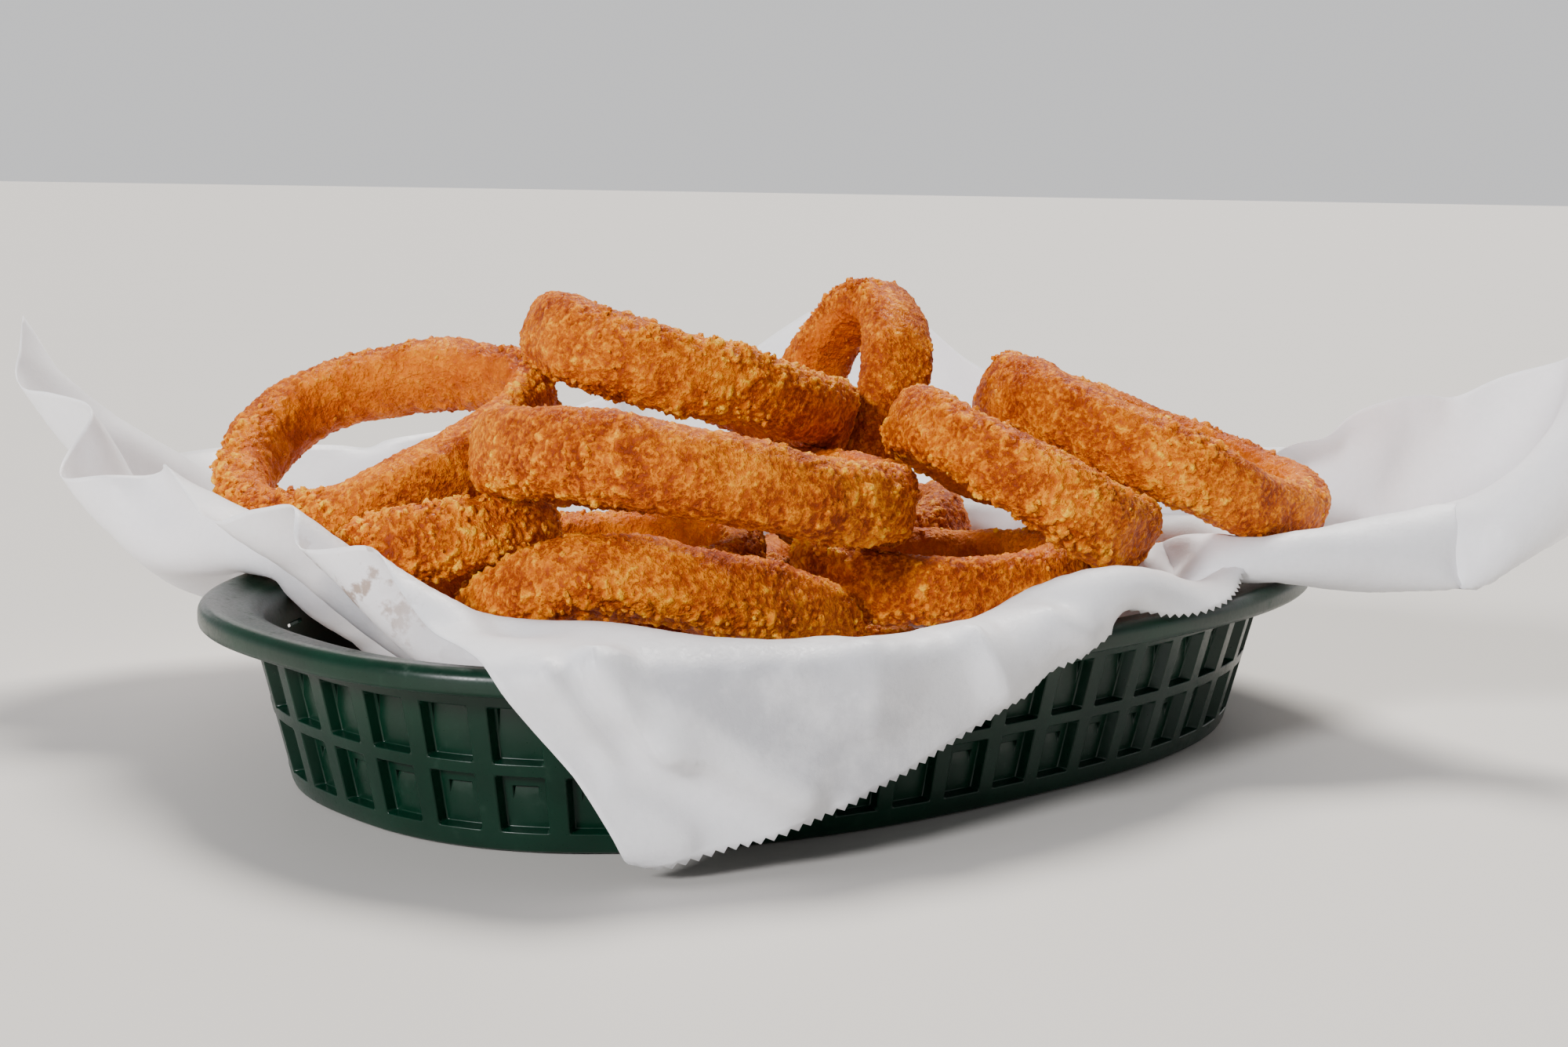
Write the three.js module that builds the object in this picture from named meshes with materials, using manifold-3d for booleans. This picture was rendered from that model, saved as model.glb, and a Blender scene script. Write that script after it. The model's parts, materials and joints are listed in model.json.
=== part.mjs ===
// An onion rings side: a heap of crumbed, deep-fried onion rings on a square sheet of deli
// paper, in an oval openwork platter basket of moulded plastic.
//
// Millimetres, +Z up. The origin is on the table under the middle of the basket, X runs along
// the basket and Y across it. Every piece is one closed body, and pieces that touch keep a
// small gap.

import * as THREE from 'three';
import { mergeVertices } from 'three/addons/utils/BufferGeometryUtils.js';
import Module from 'manifold-3d';

const wasm = await Module();
wasm.setup();

// ---------------------------------------------------------------- driving dimensions

const GAP = 0.35;                 // clearance kept between pieces that touch
const TURN = 2 * Math.PI;

const BASKET = {
  halfLength: 133,                // rim, outside
  halfWidth: 90,
  roundness: 2.43,                // exponent of the oval outline
  height: 38,
  columns: 48,                    // ribs round the wall
  upperCell: { low: 23.5, high: 28.5, width: 9.4 },
  lowerCell: { low: 10.5, high: 13.0, width: 5.0 },
  // the outside and the cavity, as pairs of inset from the rim and height
  outside: [[19.5, 0], [17.5, 1.6], [9.6, 34.6], [2.0, 34.0], [1.5, 32.8], [0.2, 32.9],
    [0, 34.8], [1.4, 36.4], [9.0, 38.0]],
  cavity: [[20.0, 2.2], [18.9, 4.0], [11.6, 35.0], [9.8, 38.0], [9.6, 39.0]],
};

// The sheet lies flat on the floor of the basket, climbs the wall, crosses the rim and runs on.
// At the near end it stands free of the wall instead, as a curtain.
const PAPER = {
  half: 152.4,                    // half of a 12 inch sheet
  centre: [21, 35],               // it lies off the middle of the basket
  turn: -6.4,                     // and a little askew, in degrees
  thickness: 0.9,
  columnsPerSide: 12,
  pastRim: 5,                     // rows of the sheet beyond the rim
  floorRings: [0.35, 0.7],
  floorHeight: 3.5,
  wallHeight: [5.5, 39.3],
  wallInset: [21.0, 12.6],        // at the foot of the wall and at the rim
  curtainInset: [42, 21],
};
const CURTAIN = { from: 160, to: 192, fade: 18, slope: 62 };
const FLAP = { from: 214, to: 283, fade: 14, fold: 16, slope: -96, lowest: 1.2 };
const SLACK = { from: 224, to: 248, fade: 30, length: 30 };

// How the sheet leaves the rim towards each of its corners: the slope at the rim and the
// slope gained for each millimetre beyond it, in degrees.
const CORNERS = [
  { name: 'back', slope: 20, curl: 0.05 },
  { name: 'left', slope: 0, curl: 0.46 },
  { name: 'front', slope: 0, curl: 0 },
  { name: 'right', slope: 2, curl: 0.85 },
];

// The rings, lowest first. Each has the place of its middle (x, y, z), the half length and half
// width of its middle line, the height and thickness of its strand, its lean in degrees with
// the side that is low (an angle from X), and the turn of its long axis.
const RINGS = [
  { name: 'ring_floor_right', at: [68, 4, 12], half: [37, 31], strand: [14, 10], lean: 2, low: 200, turn: 70, hold: 1 },
  { name: 'ring_floor_middle', at: [2, 33, 12], half: [25, 20], strand: [14, 9], lean: 0, low: 90, turn: 0, hold: 1 },
  { name: 'ring_front_arch', at: [-50, -16, 39], half: [37, 35], strand: [15.5, 12], lean: 32, low: 48, turn: 48, hold: 24 },
  { name: 'ring_back_middle', at: [-16, 44, 34], half: [31, 25], strand: [15, 11], lean: 6, low: 230, turn: 0, hold: 3 },
  { name: 'ring_right_low', at: [70, -18, 27], half: [31, 27], strand: [14, 10], lean: 4, low: 250, turn: 0, hold: 1 },
  { name: 'ring_back_right', at: [60, 38, 28], half: [28, 24], strand: [14, 10], lean: 4, low: 80, turn: 20, hold: 1 },
  { name: 'ring_left_low', at: [-80, 15, 49], half: [19, 17], strand: [14, 10], lean: 30, low: 100, turn: 0, hold: 8 },
  { name: 'ring_bowl', at: [14, -32, 38], half: [31, 28], strand: [14, 10], lean: 3, low: 48, turn: 48, hold: 3 },
  { name: 'ring_middle', at: [-44, -16, 60], half: [39.5, 38], strand: [16, 11.5], lean: 9, low: 5, turn: 0, hold: 30 },
  { name: 'ring_left', at: [-65, 58, 62], half: [35, 30], strand: [15, 11], lean: 28, low: 198, turn: 140, hold: 30 },
  { name: 'ring_right', at: [73, -41, 55.5], half: [37, 31], strand: [16, 12], lean: 25, low: -54, turn: -42, hold: 24 },
  { name: 'ring_slanted', at: [20, -49, 62.5], half: [28, 25], strand: [15, 11], lean: 32, low: -29, turn: 0, hold: 6 },
  { name: 'ring_upper', at: [-14, 12, 77], half: [33, 31], strand: [15.5, 11.5], lean: 20, low: -28, turn: 0, hold: 16 },
  { name: 'ring_top', at: [26, 17, 67], half: [26, 21], strand: [14.5, 12], lean: 74, low: 160, turn: 160, hold: 16 },
];
const RING = { steps: 18, sides: 8, squareness: 2.8, wobble: 0.035, warp: 0.03, unevenness: 0.06 };
const HEAP = {
  beads: 36, room: 1.12, rimRoom: 2, rounds: 600, firmness: 0.05, speed: 0.9, mostTurn: 0.05,
};

// ---------------------------------------------------------------- colours and finishes

const plastic = new THREE.MeshStandardMaterial({ color: 0x123c2c, roughness: 0.35, metalness: 0 });
const paper = new THREE.MeshStandardMaterial({ color: 0xe9e8ea, roughness: 0.7, metalness: 0 });
const crust = new THREE.MeshStandardMaterial({ color: 0xc8660f, roughness: 0.75, metalness: 0 });

// ---------------------------------------------------------------- shape helpers

const radians = (degrees) => degrees * Math.PI / 180;
const mix = (a, b, t) => a + (b - a) * t;
const smooth = (t) => {
  const s = Math.min(1, Math.max(0, t));
  return s * s * (3 - 2 * s);
};
const signedPower = (v, p) => Math.sign(v) * Math.abs(v) ** p;

// A point of the oval whose half sizes are the rim's less the inset.
function ovalPoint(angle, inset) {
  const p = 2 / BASKET.roundness;
  return new THREE.Vector2(
    (BASKET.halfLength - inset) * signedPower(Math.cos(angle), p),
    (BASKET.halfWidth - inset) * signedPower(Math.sin(angle), p),
  );
}

// The angle at which ovalPoint lies in a given direction from the middle.
function ovalAngle(direction, inset) {
  const p = BASKET.roundness / 2;
  return Math.atan2(signedPower(Math.sin(direction) / (BASKET.halfWidth - inset), p),
    signedPower(Math.cos(direction) / (BASKET.halfLength - inset), p));
}

// Angles that cut the oval into equal lengths, the first step's middle lying on the X axis.
function evenAngles(count, inset) {
  const fine = 4096;
  const lengths = [0];
  for (let i = 1; i <= fine; i += 1) {
    const a = ovalPoint((i - 1) / fine * TURN, inset);
    lengths.push(lengths[i - 1] + a.distanceTo(ovalPoint(i / fine * TURN, inset)));
  }
  const angles = [];
  for (let k = 0, i = 0; k < count; k += 1) {
    const wanted = (k + 0.5) / count * lengths[fine];
    while (lengths[i] < wanted) i += 1;
    angles.push(i / fine * TURN);
  }
  return angles;
}

// A closed surface from rows of points: each row is a closed loop, and the first and last rows
// are either joined to each other or closed with a fan round their middle.
function loftedGeometry(rows, joined) {
  const count = rows[0].length;
  const positions = rows.flat().flatMap((p) => [p.x, p.y, p.z]);
  const indices = [];
  const last = joined ? rows.length : rows.length - 1;
  for (let r = 0; r < last; r += 1) {
    const next = (r + 1) % rows.length;
    for (let i = 0; i < count; i += 1) {
      const j = (i + 1) % count;
      const corners = [r * count + i, r * count + j, next * count + j, next * count + i];
      indices.push(corners[0], corners[1], corners[2], corners[0], corners[2], corners[3]);
    }
  }
  if (!joined) {
    [0, rows.length - 1].forEach((r) => {
      const middle = new THREE.Vector3();
      rows[r].forEach((p) => middle.addScaledVector(p, 1 / count));
      const centre = positions.length / 3;
      positions.push(middle.x, middle.y, middle.z);
      for (let i = 0; i < count; i += 1) {
        const pair = [r * count + i, r * count + (i + 1) % count];
        indices.push(centre, ...(r === 0 ? pair.reverse() : pair));
      }
    });
  }
  const geometry = new THREE.BufferGeometry();
  geometry.setAttribute('position', new THREE.Float32BufferAttribute(positions, 3));
  geometry.setIndex(indices);
  return geometry;
}

function toSolid(geometry) {
  const bare = geometry.clone();
  bare.deleteAttribute('normal');
  bare.deleteAttribute('uv');
  const merged = mergeVertices(bare, 1e-4);
  return new wasm.Manifold(new wasm.Mesh({
    numProp: 3,
    vertProperties: Float32Array.from(merged.attributes.position.array),
    triVerts: Uint32Array.from(merged.index.array),
  }));
}

function fromSolid(solid) {
  const mesh = solid.getMesh();
  const geometry = new THREE.BufferGeometry();
  geometry.setAttribute('position', new THREE.Float32BufferAttribute(mesh.vertProperties, 3));
  geometry.setIndex(Array.from(mesh.triVerts));
  return geometry;
}

// ---------------------------------------------------------------- basket

function basketSolid() {
  const angles = evenAngles(BASKET.columns, 14);
  const stack = (levels) => toSolid(loftedGeometry(levels.map(([inset, z]) => angles.map((angle) => {
    const p = ovalPoint(angle, inset);
    return new THREE.Vector3(p.x, p.y, z);
  })), false));
  let solid = stack(BASKET.outside).subtract(stack(BASKET.cavity));
  angles.forEach((angle, i) => {
    const a = ovalPoint(angle, 14);
    const b = ovalPoint(angles[(i + 1) % angles.length], 14);
    const facing = Math.atan2(b.y - a.y, b.x - a.x);
    [BASKET.upperCell, BASKET.lowerCell].forEach((cell) => {
      const box = new THREE.BoxGeometry(cell.width, 14, cell.high - cell.low);
      box.rotateZ(facing);
      box.translate((a.x + b.x) / 2, (a.y + b.y) / 2, (cell.low + cell.high) / 2);
      solid = solid.subtract(toSolid(box));
    });
  });
  return solid;
}

// ---------------------------------------------------------------- paper

// How far a direction, in degrees, lies within a sector that fades out at both ends.
function within(direction, sector) {
  const middle = (sector.from + sector.to) / 2;
  const off = Math.abs(((direction - middle) % 360 + 540) % 360 - 180);
  return 1 - smooth((off - (sector.to - sector.from) / 2) / sector.fade);
}

// The corners of the sheet laid flat, from the one at the back round to the right.
function flatCorners() {
  return [[1, 1], [-1, 1], [-1, -1], [1, -1]].map(([x, y]) => (
    new THREE.Vector2(x * PAPER.half, y * PAPER.half)
      .rotateAround(new THREE.Vector2(), radians(PAPER.turn))
      .add(new THREE.Vector2(...PAPER.centre))));
}

// The distance from the middle of the basket to the edge of the flat sheet in a direction.
function paperReach(direction) {
  const ray = new THREE.Vector2(Math.cos(direction), Math.sin(direction));
  const corners = flatCorners();
  const reaches = corners.map((corner, i) => {
    const edge = corners[(i + 1) % corners.length].clone().sub(corner);
    return corner.cross(edge) / ray.cross(edge);
  });
  return Math.min(...reaches.filter((reach) => reach > 0));
}

// How far inside the rim the sheet lies at the foot (0) and the top (1) of the wall.
const paperInset = (degrees, end) => mix(PAPER.wallInset[end], PAPER.curtainInset[end],
  within(degrees, CURTAIN));

// The slope of the sheet beyond the rim, in degrees: between two corners it goes from the
// one's to the other's.
function paperSlope(side, share, degrees, past) {
  const [a, b] = [CORNERS[side], CORNERS[(side + 1) % 4]].map((corner) => corner.slope + corner.curl * past);
  const risen = mix(mix(a, b, smooth(share)), CURTAIN.slope, within(degrees, CURTAIN));
  const folded = FLAP.slope * smooth((past - FLAP.fold) / 6);
  return mix(risen, folded, within(degrees, FLAP));
}

// One column of the sheet, from the foot of the wall to the edge, as pairs of inset and height.
function paperColumn({ angle, direction, side, share }) {
  const degrees = direction * 360 / TURN;
  const foot = paperInset(degrees, 0);
  const top = paperInset(degrees, 1);
  const [low, high] = PAPER.wallHeight;
  const reach = paperReach(direction) - ovalPoint(angle, foot).length()
    + SLACK.length * within(degrees, SLACK);
  const wallLength = Math.hypot(foot - top, high - low);
  const onWall = Math.min(1, reach / wallLength);
  const path = [[foot + 0.8, PAPER.floorHeight]];
  [0, 0.5, 1].forEach((t) => path.push([mix(foot, top, t * onWall), mix(low, high, t * onWall)]));
  const free = Math.max(1.5, reach - wallLength);
  const beyond = pastRim((past) => paperSlope(side, share, degrees, past), path[path.length - 1], free);
  const lowest = beyond.findIndex(([, z]) => z < FLAP.lowest);
  const shown = lowest < 0 ? beyond : beyond.slice(0, lowest);
  for (let k = 1; k <= PAPER.pastRim; k += 1) {
    path.push(shown[Math.round(k / PAPER.pastRim * (shown.length - 1))]);
  }
  return path;
}

// The sheet beyond the rim as many short steps, each with the slope that the sheet has there.
function pastRim(slopeAt, start, length) {
  const strides = 120;
  const stride = length / strides;
  const path = [start];
  for (let i = 0; i < strides; i += 1) {
    const slope = radians(slopeAt((i + 0.5) * stride));
    const [inset, z] = path[i];
    path.push([inset - stride * Math.cos(slope), z + stride * Math.sin(slope)]);
  }
  return path;
}

// Columns of the sheet, evenly spaced in direction between each corner and the next.
function paperColumns() {
  const turns = flatCorners().map((corner) => corner.angle());
  return turns.flatMap((from, side) => {
    const sweep = ((turns[(side + 1) % 4] - from) % TURN + TURN) % TURN;
    return Array.from({ length: PAPER.columnsPerSide }, (_, i) => {
      const share = i / PAPER.columnsPerSide;
      const direction = from + sweep * share;
      return { direction, side, share, angle: ovalAngle(direction, -20) };
    });
  });
}

// A closed shell from an upper and a lower grid of rows, each row a closed loop and the first
// row closed with a fan. Both grids are cut into triangles along the same diagonals.
function shellGeometry(upper, lower) {
  const count = upper[0].length;
  const rows = upper.length;
  const positions = [...upper.flat(), ...lower.flat()].flatMap((p) => [p.x, p.y, p.z]);
  const at = (layer, r, i) => (layer * rows + r) * count + i % count;
  const indices = [];
  const quad = (a, b, c, d) => indices.push(a, b, c, a, c, d);
  [upper[0], lower[0]].forEach((row, layer) => {
    const middle = new THREE.Vector3();
    row.forEach((p) => middle.addScaledVector(p, 1 / count));
    positions.push(middle.x, middle.y, middle.z);
    for (let i = 0; i < count; i += 1) {
      const pair = [at(layer, 0, i), at(layer, 0, i + 1)];
      indices.push(2 * rows * count + layer, ...(layer === 1 ? pair.reverse() : pair));
    }
  });
  for (let r = 0; r < rows - 1; r += 1) {
    for (let i = 0; i < count; i += 1) {
      quad(at(0, r, i), at(0, r + 1, i), at(0, r + 1, i + 1), at(0, r, i + 1));
      indices.push(at(1, r, i), at(1, r + 1, i + 1), at(1, r + 1, i));
      indices.push(at(1, r, i), at(1, r, i + 1), at(1, r + 1, i + 1));
    }
  }
  for (let i = 0; i < count; i += 1) {
    quad(at(0, rows - 1, i), at(1, rows - 1, i), at(1, rows - 1, i + 1), at(0, rows - 1, i + 1));
  }
  const geometry = new THREE.BufferGeometry();
  geometry.setAttribute('position', new THREE.Float32BufferAttribute(positions, 3));
  geometry.setIndex(indices);
  return geometry;
}

function paperSolid() {
  const columns = paperColumns();
  const paths = columns.map(paperColumn);
  const place = (angle, inset, z) => {
    const p = ovalPoint(angle, inset);
    return new THREE.Vector3(p.x, p.y, z);
  };
  const upper = [];
  const lower = [];
  PAPER.floorRings.forEach((share) => {
    const row = columns.map(({ angle }, i) => {
      const p = ovalPoint(angle, paths[i][0][0]).multiplyScalar(share);
      return new THREE.Vector3(p.x, p.y, PAPER.floorHeight);
    });
    upper.push(row);
    lower.push(row.map((p) => new THREE.Vector3(p.x, p.y, p.z - PAPER.thickness)));
  });
  for (let k = 0; k < paths[0].length; k += 1) {
    upper.push(columns.map(({ angle }, i) => place(angle, ...paths[i][k])));
    lower.push(columns.map(({ angle }, i) => {
      const [inset, z] = paths[i][k];
      if (k === 0) return place(angle, inset, z - PAPER.thickness);
      const before = paths[i][k - 1];
      const after = paths[i][Math.min(paths[i].length - 1, k + 1)];
      const run = Math.hypot(after[0] - before[0], after[1] - before[1]);
      return place(angle, inset + PAPER.thickness * (before[1] - after[1]) / run,
        z - PAPER.thickness * (before[0] - after[0]) / run);
    }));
  }
  return toSolid(shellGeometry(upper, lower));
}

// ---------------------------------------------------------------- rings

// A point of a ring's middle line about the ring's own middle: an oval that swells and warps a
// little, each ring differently.
function middleLine(ring, index, t) {
  const swell = 1 + RING.wobble * (Math.cos(3 * t + 1.7 * index) + Math.cos(2 * t + index));
  const lift = ring.half[0] * RING.warp * Math.cos(2 * t + 2.3 * index);
  return new THREE.Vector3(ring.half[0] * swell * Math.cos(t), ring.half[1] * swell * Math.sin(t), lift);
}

// A rounded strand carried round the middle line, about the ring's own middle.
function ringGeometry(ring, index) {
  const [height, thick] = ring.strand;
  const power = 2 / RING.squareness;
  const rows = [];
  for (let i = 0; i < RING.steps; i += 1) {
    const t = i / RING.steps * TURN;
    const centre = middleLine(ring, index, t);
    const outward = new THREE.Vector3(Math.cos(t) / ring.half[0], Math.sin(t) / ring.half[1], 0).normalize();
    const fat = 1 + RING.unevenness * Math.cos(t * 2 + 3.1 * index);
    rows.push(Array.from({ length: RING.sides }, (_, k) => {
      const a = (k + 0.5) / RING.sides * TURN;
      return centre.clone()
        .addScaledVector(outward, thick / 2 * fat * signedPower(Math.cos(a), power))
        .add(new THREE.Vector3(0, 0, height / 2 * fat * signedPower(Math.sin(a), power)));
    }));
  }
  return loftedGeometry(rows.reverse(), true);
}

// The turn that leans a ring down towards its low side.
function leanOf(ring) {
  const about = (axis, degrees) => new THREE.Quaternion().setFromAxisAngle(axis, radians(degrees));
  const up = new THREE.Vector3(0, 0, 1);
  return about(up, ring.low)
    .multiply(about(new THREE.Vector3(0, 1, 0), ring.lean))
    .multiply(about(up, ring.turn - ring.low));
}

// How far a bead of a ring at a point has to move to stay on the paper and inside the wall.
function keptIn(point, radius) {
  const push = new THREE.Vector3();
  const floor = PAPER.floorHeight + GAP + radius;
  if (point.z < floor) push.z = floor - point.z;
  const rise = Math.min(1, Math.max(0, point.z / BASKET.height));
  const degrees = Math.atan2(point.y, point.x) * 360 / TURN;
  const inset = mix(paperInset(degrees, 0), paperInset(degrees, 1), rise) + 1 + radius;
  const n = BASKET.roundness;
  const fill = (Math.abs(point.x / (BASKET.halfLength - inset)) ** n
    + Math.abs(point.y / (BASKET.halfWidth - inset)) ** n) ** (1 / n);
  const overRim = BASKET.height + HEAP.rimRoom + radius;
  if (fill > 1 && point.z < overRim) {
    const inward = Math.hypot(point.x, point.y) * (1 - 1 / fill);
    if (overRim - point.z < inward) {
      push.z = overRim - point.z;
    } else {
      push.x -= point.x * (1 - 1 / fill);
      push.y -= point.y * (1 - 1 / fill);
    }
  }
  return push;
}

// Pushes the rings apart as a loose heap. Each is a stiff string of beads on its middle line;
// beads that overlap push their rings apart, and each ring is drawn back to where it was put,
// less and less firmly.
function heapUp(rings) {
  const bodies = rings.map((ring, index) => ({
    place: new THREE.Vector3(...ring.at),
    spin: leanOf(ring),
    wantedPlace: new THREE.Vector3(...ring.at),
    wantedSpin: leanOf(ring),
    strand: ring.strand.map((size) => size / 2 * HEAP.room),
    beads: Array.from({ length: HEAP.beads }, (_, i) => middleLine(ring, index, i / HEAP.beads * TURN)),
    size: ring.half[0],
    speed: HEAP.speed / ring.hold,
  }));
  // half the strand's size along a direction that makes this cosine with the ring's axis
  const reachOf = (body, cosine) => Math.sqrt(body.strand[1] ** 2
    + (body.strand[0] ** 2 - body.strand[1] ** 2) * cosine ** 2);
  const nudge = (body, point, move) => {
    body.push.add(move);
    body.twist.add(point.clone().sub(body.place).cross(move));
    body.hits += 1;
  };
  const part = new THREE.Vector3();
  for (let round = 0; round < HEAP.rounds; round += 1) {
    const firmness = HEAP.firmness * Math.max(0, 1 - round / HEAP.rounds / 0.6);
    bodies.forEach((body) => {
      body.at = body.beads.map((bead) => bead.clone().applyQuaternion(body.spin).add(body.place));
      body.axis = new THREE.Vector3(0, 0, 1).applyQuaternion(body.spin);
      body.push = new THREE.Vector3();
      body.twist = new THREE.Vector3();
      body.hits = 0;
    });
    bodies.forEach((a, i) => {
      a.at.forEach((point) => {
        const move = keptIn(point, reachOf(a, a.axis.z));
        if (move.lengthSq() > 0) nudge(a, point, move);
      });
      bodies.slice(i + 1).forEach((b) => {
        const most = a.strand[0] + b.strand[0] + GAP;
        a.at.forEach((p) => {
          if (p.distanceTo(b.place) > b.size * 1.15 + most) return;
          b.at.forEach((q) => {
            part.subVectors(p, q);
            const apart = part.length();
            if (apart >= most) return;
            const reach = reachOf(a, part.dot(a.axis) / apart) + reachOf(b, part.dot(b.axis) / apart) + GAP;
            if (apart < reach) {
              const move = part.clone().multiplyScalar((reach - apart) / apart / 2);
              nudge(a, p, move);
              nudge(b, q, move.clone().negate());
            }
          });
        });
      });
    });
    bodies.forEach((body) => {
      if (body.hits > 0) {
        body.place.addScaledVector(body.push, body.speed / body.hits);
        const turn = body.twist.multiplyScalar(body.speed / body.hits / body.size ** 2);
        const angle = Math.min(HEAP.mostTurn, turn.length());
        if (angle > 0) {
          body.spin.premultiply(new THREE.Quaternion().setFromAxisAngle(turn.normalize(), angle));
        }
      }
      body.place.lerp(body.wantedPlace, firmness);
      body.spin.slerp(body.wantedSpin, firmness);
    });
  }
  return bodies.map((body) => new THREE.Matrix4().compose(body.place, body.spin, new THREE.Vector3(1, 1, 1)));
}

// ---------------------------------------------------------------- the object

const side = new THREE.Group();
const add = (name, geometry, material) => {
  const mesh = new THREE.Mesh(geometry, material);
  mesh.name = name;
  side.add(mesh);
};

add('basket', fromSolid(basketSolid()), plastic);
add('paper_liner', fromSolid(paperSolid()), paper);
const places = heapUp(RINGS);
RINGS.forEach((ring, index) => {
  const geometry = ringGeometry(ring, index).applyMatrix4(places[index]);
  add(ring.name, fromSolid(toSolid(geometry)), crust);
});

export default side;
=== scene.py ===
import json
import math

import bmesh
import bpy
import numpy as np
from bpy.props import FloatProperty, FloatVectorProperty, IntProperty, PointerProperty
from mathutils import Matrix, Vector

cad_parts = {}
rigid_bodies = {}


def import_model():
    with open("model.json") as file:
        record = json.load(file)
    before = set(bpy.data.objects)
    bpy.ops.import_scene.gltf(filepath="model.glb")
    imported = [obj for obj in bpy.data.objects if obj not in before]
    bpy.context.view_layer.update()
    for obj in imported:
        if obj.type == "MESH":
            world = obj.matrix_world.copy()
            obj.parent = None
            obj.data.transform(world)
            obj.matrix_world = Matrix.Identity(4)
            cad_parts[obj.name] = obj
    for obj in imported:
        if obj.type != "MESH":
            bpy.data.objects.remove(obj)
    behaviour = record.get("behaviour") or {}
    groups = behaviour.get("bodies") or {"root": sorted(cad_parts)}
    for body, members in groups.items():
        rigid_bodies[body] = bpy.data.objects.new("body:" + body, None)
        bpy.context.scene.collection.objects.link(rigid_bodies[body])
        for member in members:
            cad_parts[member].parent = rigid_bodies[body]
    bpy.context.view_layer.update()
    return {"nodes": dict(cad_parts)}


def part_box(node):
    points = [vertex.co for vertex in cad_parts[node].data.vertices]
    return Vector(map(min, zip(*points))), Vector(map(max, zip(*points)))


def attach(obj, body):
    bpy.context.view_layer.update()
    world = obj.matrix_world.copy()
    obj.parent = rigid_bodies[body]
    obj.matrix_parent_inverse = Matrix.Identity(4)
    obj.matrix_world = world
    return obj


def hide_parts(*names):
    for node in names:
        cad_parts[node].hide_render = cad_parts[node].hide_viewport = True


bl_info = {
    "name": "Onion Rings in a Basket",
    "version": (1, 0, 0),
    "blender": (4, 5, 0),
    "location": "View3D > Sidebar > Onion Rings",
    "description": "Builds a slotted basket, its sheet of paper and a heap of crumbed onion rings",
    "category": "Add Mesh",
}

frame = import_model()

BODY = "root"
RING_NODES = sorted(name for name in frame["nodes"] if name.startswith("ring_"))
BASKET_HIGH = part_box("basket")[1]


def colour(red, green, blue):
    """A colour given as display values from 0 to 255, as the linear values that materials take."""
    shown = np.array([red, green, blue]) / 255
    linear = np.where(shown <= 0.04045, shown / 12.92, ((shown + 0.055) / 1.055) ** 2.4)
    return tuple(float(v) for v in linear)


# ---- Sizes and colours


class BasketSettings(bpy.types.PropertyGroup):
    """Sizes and colour of the basket."""

    half_length: FloatProperty(name="Half length", description="Half the rim's length", unit="LENGTH",
                               default=BASKET_HIGH[0])
    half_width: FloatProperty(name="Half width", description="Half the rim's width", unit="LENGTH",
                              default=BASKET_HIGH[1])
    height: FloatProperty(name="Height", description="From the table to the top of the rim", unit="LENGTH",
                          default=BASKET_HIGH[2])
    roundness: FloatProperty(name="Roundness", description="Power of the outline: 2 is an ellipse",
                             default=2.43)
    columns: IntProperty(name="Columns", description="Ribs round the wall", default=48, min=12)
    pocket_depth: FloatProperty(name="Pocket depth", description="How far the panels lie behind the ribs",
                                default=0.0023, unit="LENGTH")
    wall: FloatProperty(name="Wall", description="From the face of a rib to the inside of the wall",
                        default=0.0032, unit="LENGTH")
    colour: FloatVectorProperty(name="Plastic", description="Colour of the plastic", subtype="COLOR",
                                default=colour(0, 36, 22))


class CrustSettings(bpy.types.PropertyGroup):
    """Sizes and colours of the rings' crust."""

    steps_round: IntProperty(name="Steps round", description="Steps round each ring", default=480, min=60)
    steps_across: IntProperty(name="Steps across", description="Steps round its strand", default=104, min=16)
    squareness: FloatProperty(name="Squareness", description="Power of the strand's section", default=2.7)
    plumpness: FloatProperty(name="Plumpness", description="Size of the crusted strand against its solid",
                             default=1.15)
    lumps: FloatProperty(name="Lumps", description="Height of the batter's soft lumps", default=0.0009,
                         unit="LENGTH")
    coarse: FloatProperty(name="Coarse crumbs", description="Spacing of the coarse crumbs", default=0.0022,
                          unit="LENGTH")
    fine: FloatProperty(name="Fine crumbs", description="Spacing of the fine crumbs", default=0.0012,
                        unit="LENGTH")
    # Dark and Light are partly the crust's own browner and paler toasting, and partly painted light: painted
    # shade between the crumbs and a painted highlight on their tops.
    dark: FloatVectorProperty(name="Dark", description="Crust between the crumbs", subtype="COLOR",
                              default=colour(150, 54, 0))
    middle: FloatVectorProperty(name="Golden", description="Most of the crust", subtype="COLOR",
                                default=colour(228, 128, 0))
    light: FloatVectorProperty(name="Light", description="Tops of the crumbs", subtype="COLOR",
                               default=colour(255, 200, 44))


class PaperSettings(bpy.types.PropertyGroup):
    """Size, place and colours of the sheet of paper."""

    side: FloatProperty(name="Side", description="Side of the square sheet", default=0.3048, unit="LENGTH")
    turn: FloatProperty(name="Turn", description="Turn of the sheet over the basket",
                        default=math.radians(-6.4), unit="ROTATION")
    centre: FloatVectorProperty(name="Centre", description="Middle of the flat sheet", size=2,
                                default=(0.021, 0.035), unit="LENGTH")
    thickness: FloatProperty(name="Thickness", description="Of the paper", default=0.00012, unit="LENGTH")
    tooth: FloatProperty(name="Tooth", description="Depth of the cut edge's teeth", default=0.0011,
                         unit="LENGTH")
    colour: FloatVectorProperty(name="Paper", description="Colour of the clean paper", subtype="COLOR",
                                default=colour(246, 244, 247))
    grease: FloatVectorProperty(name="Grease", description="Colour of the greasy smudges", subtype="COLOR",
                                default=colour(150, 128, 112))


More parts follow.
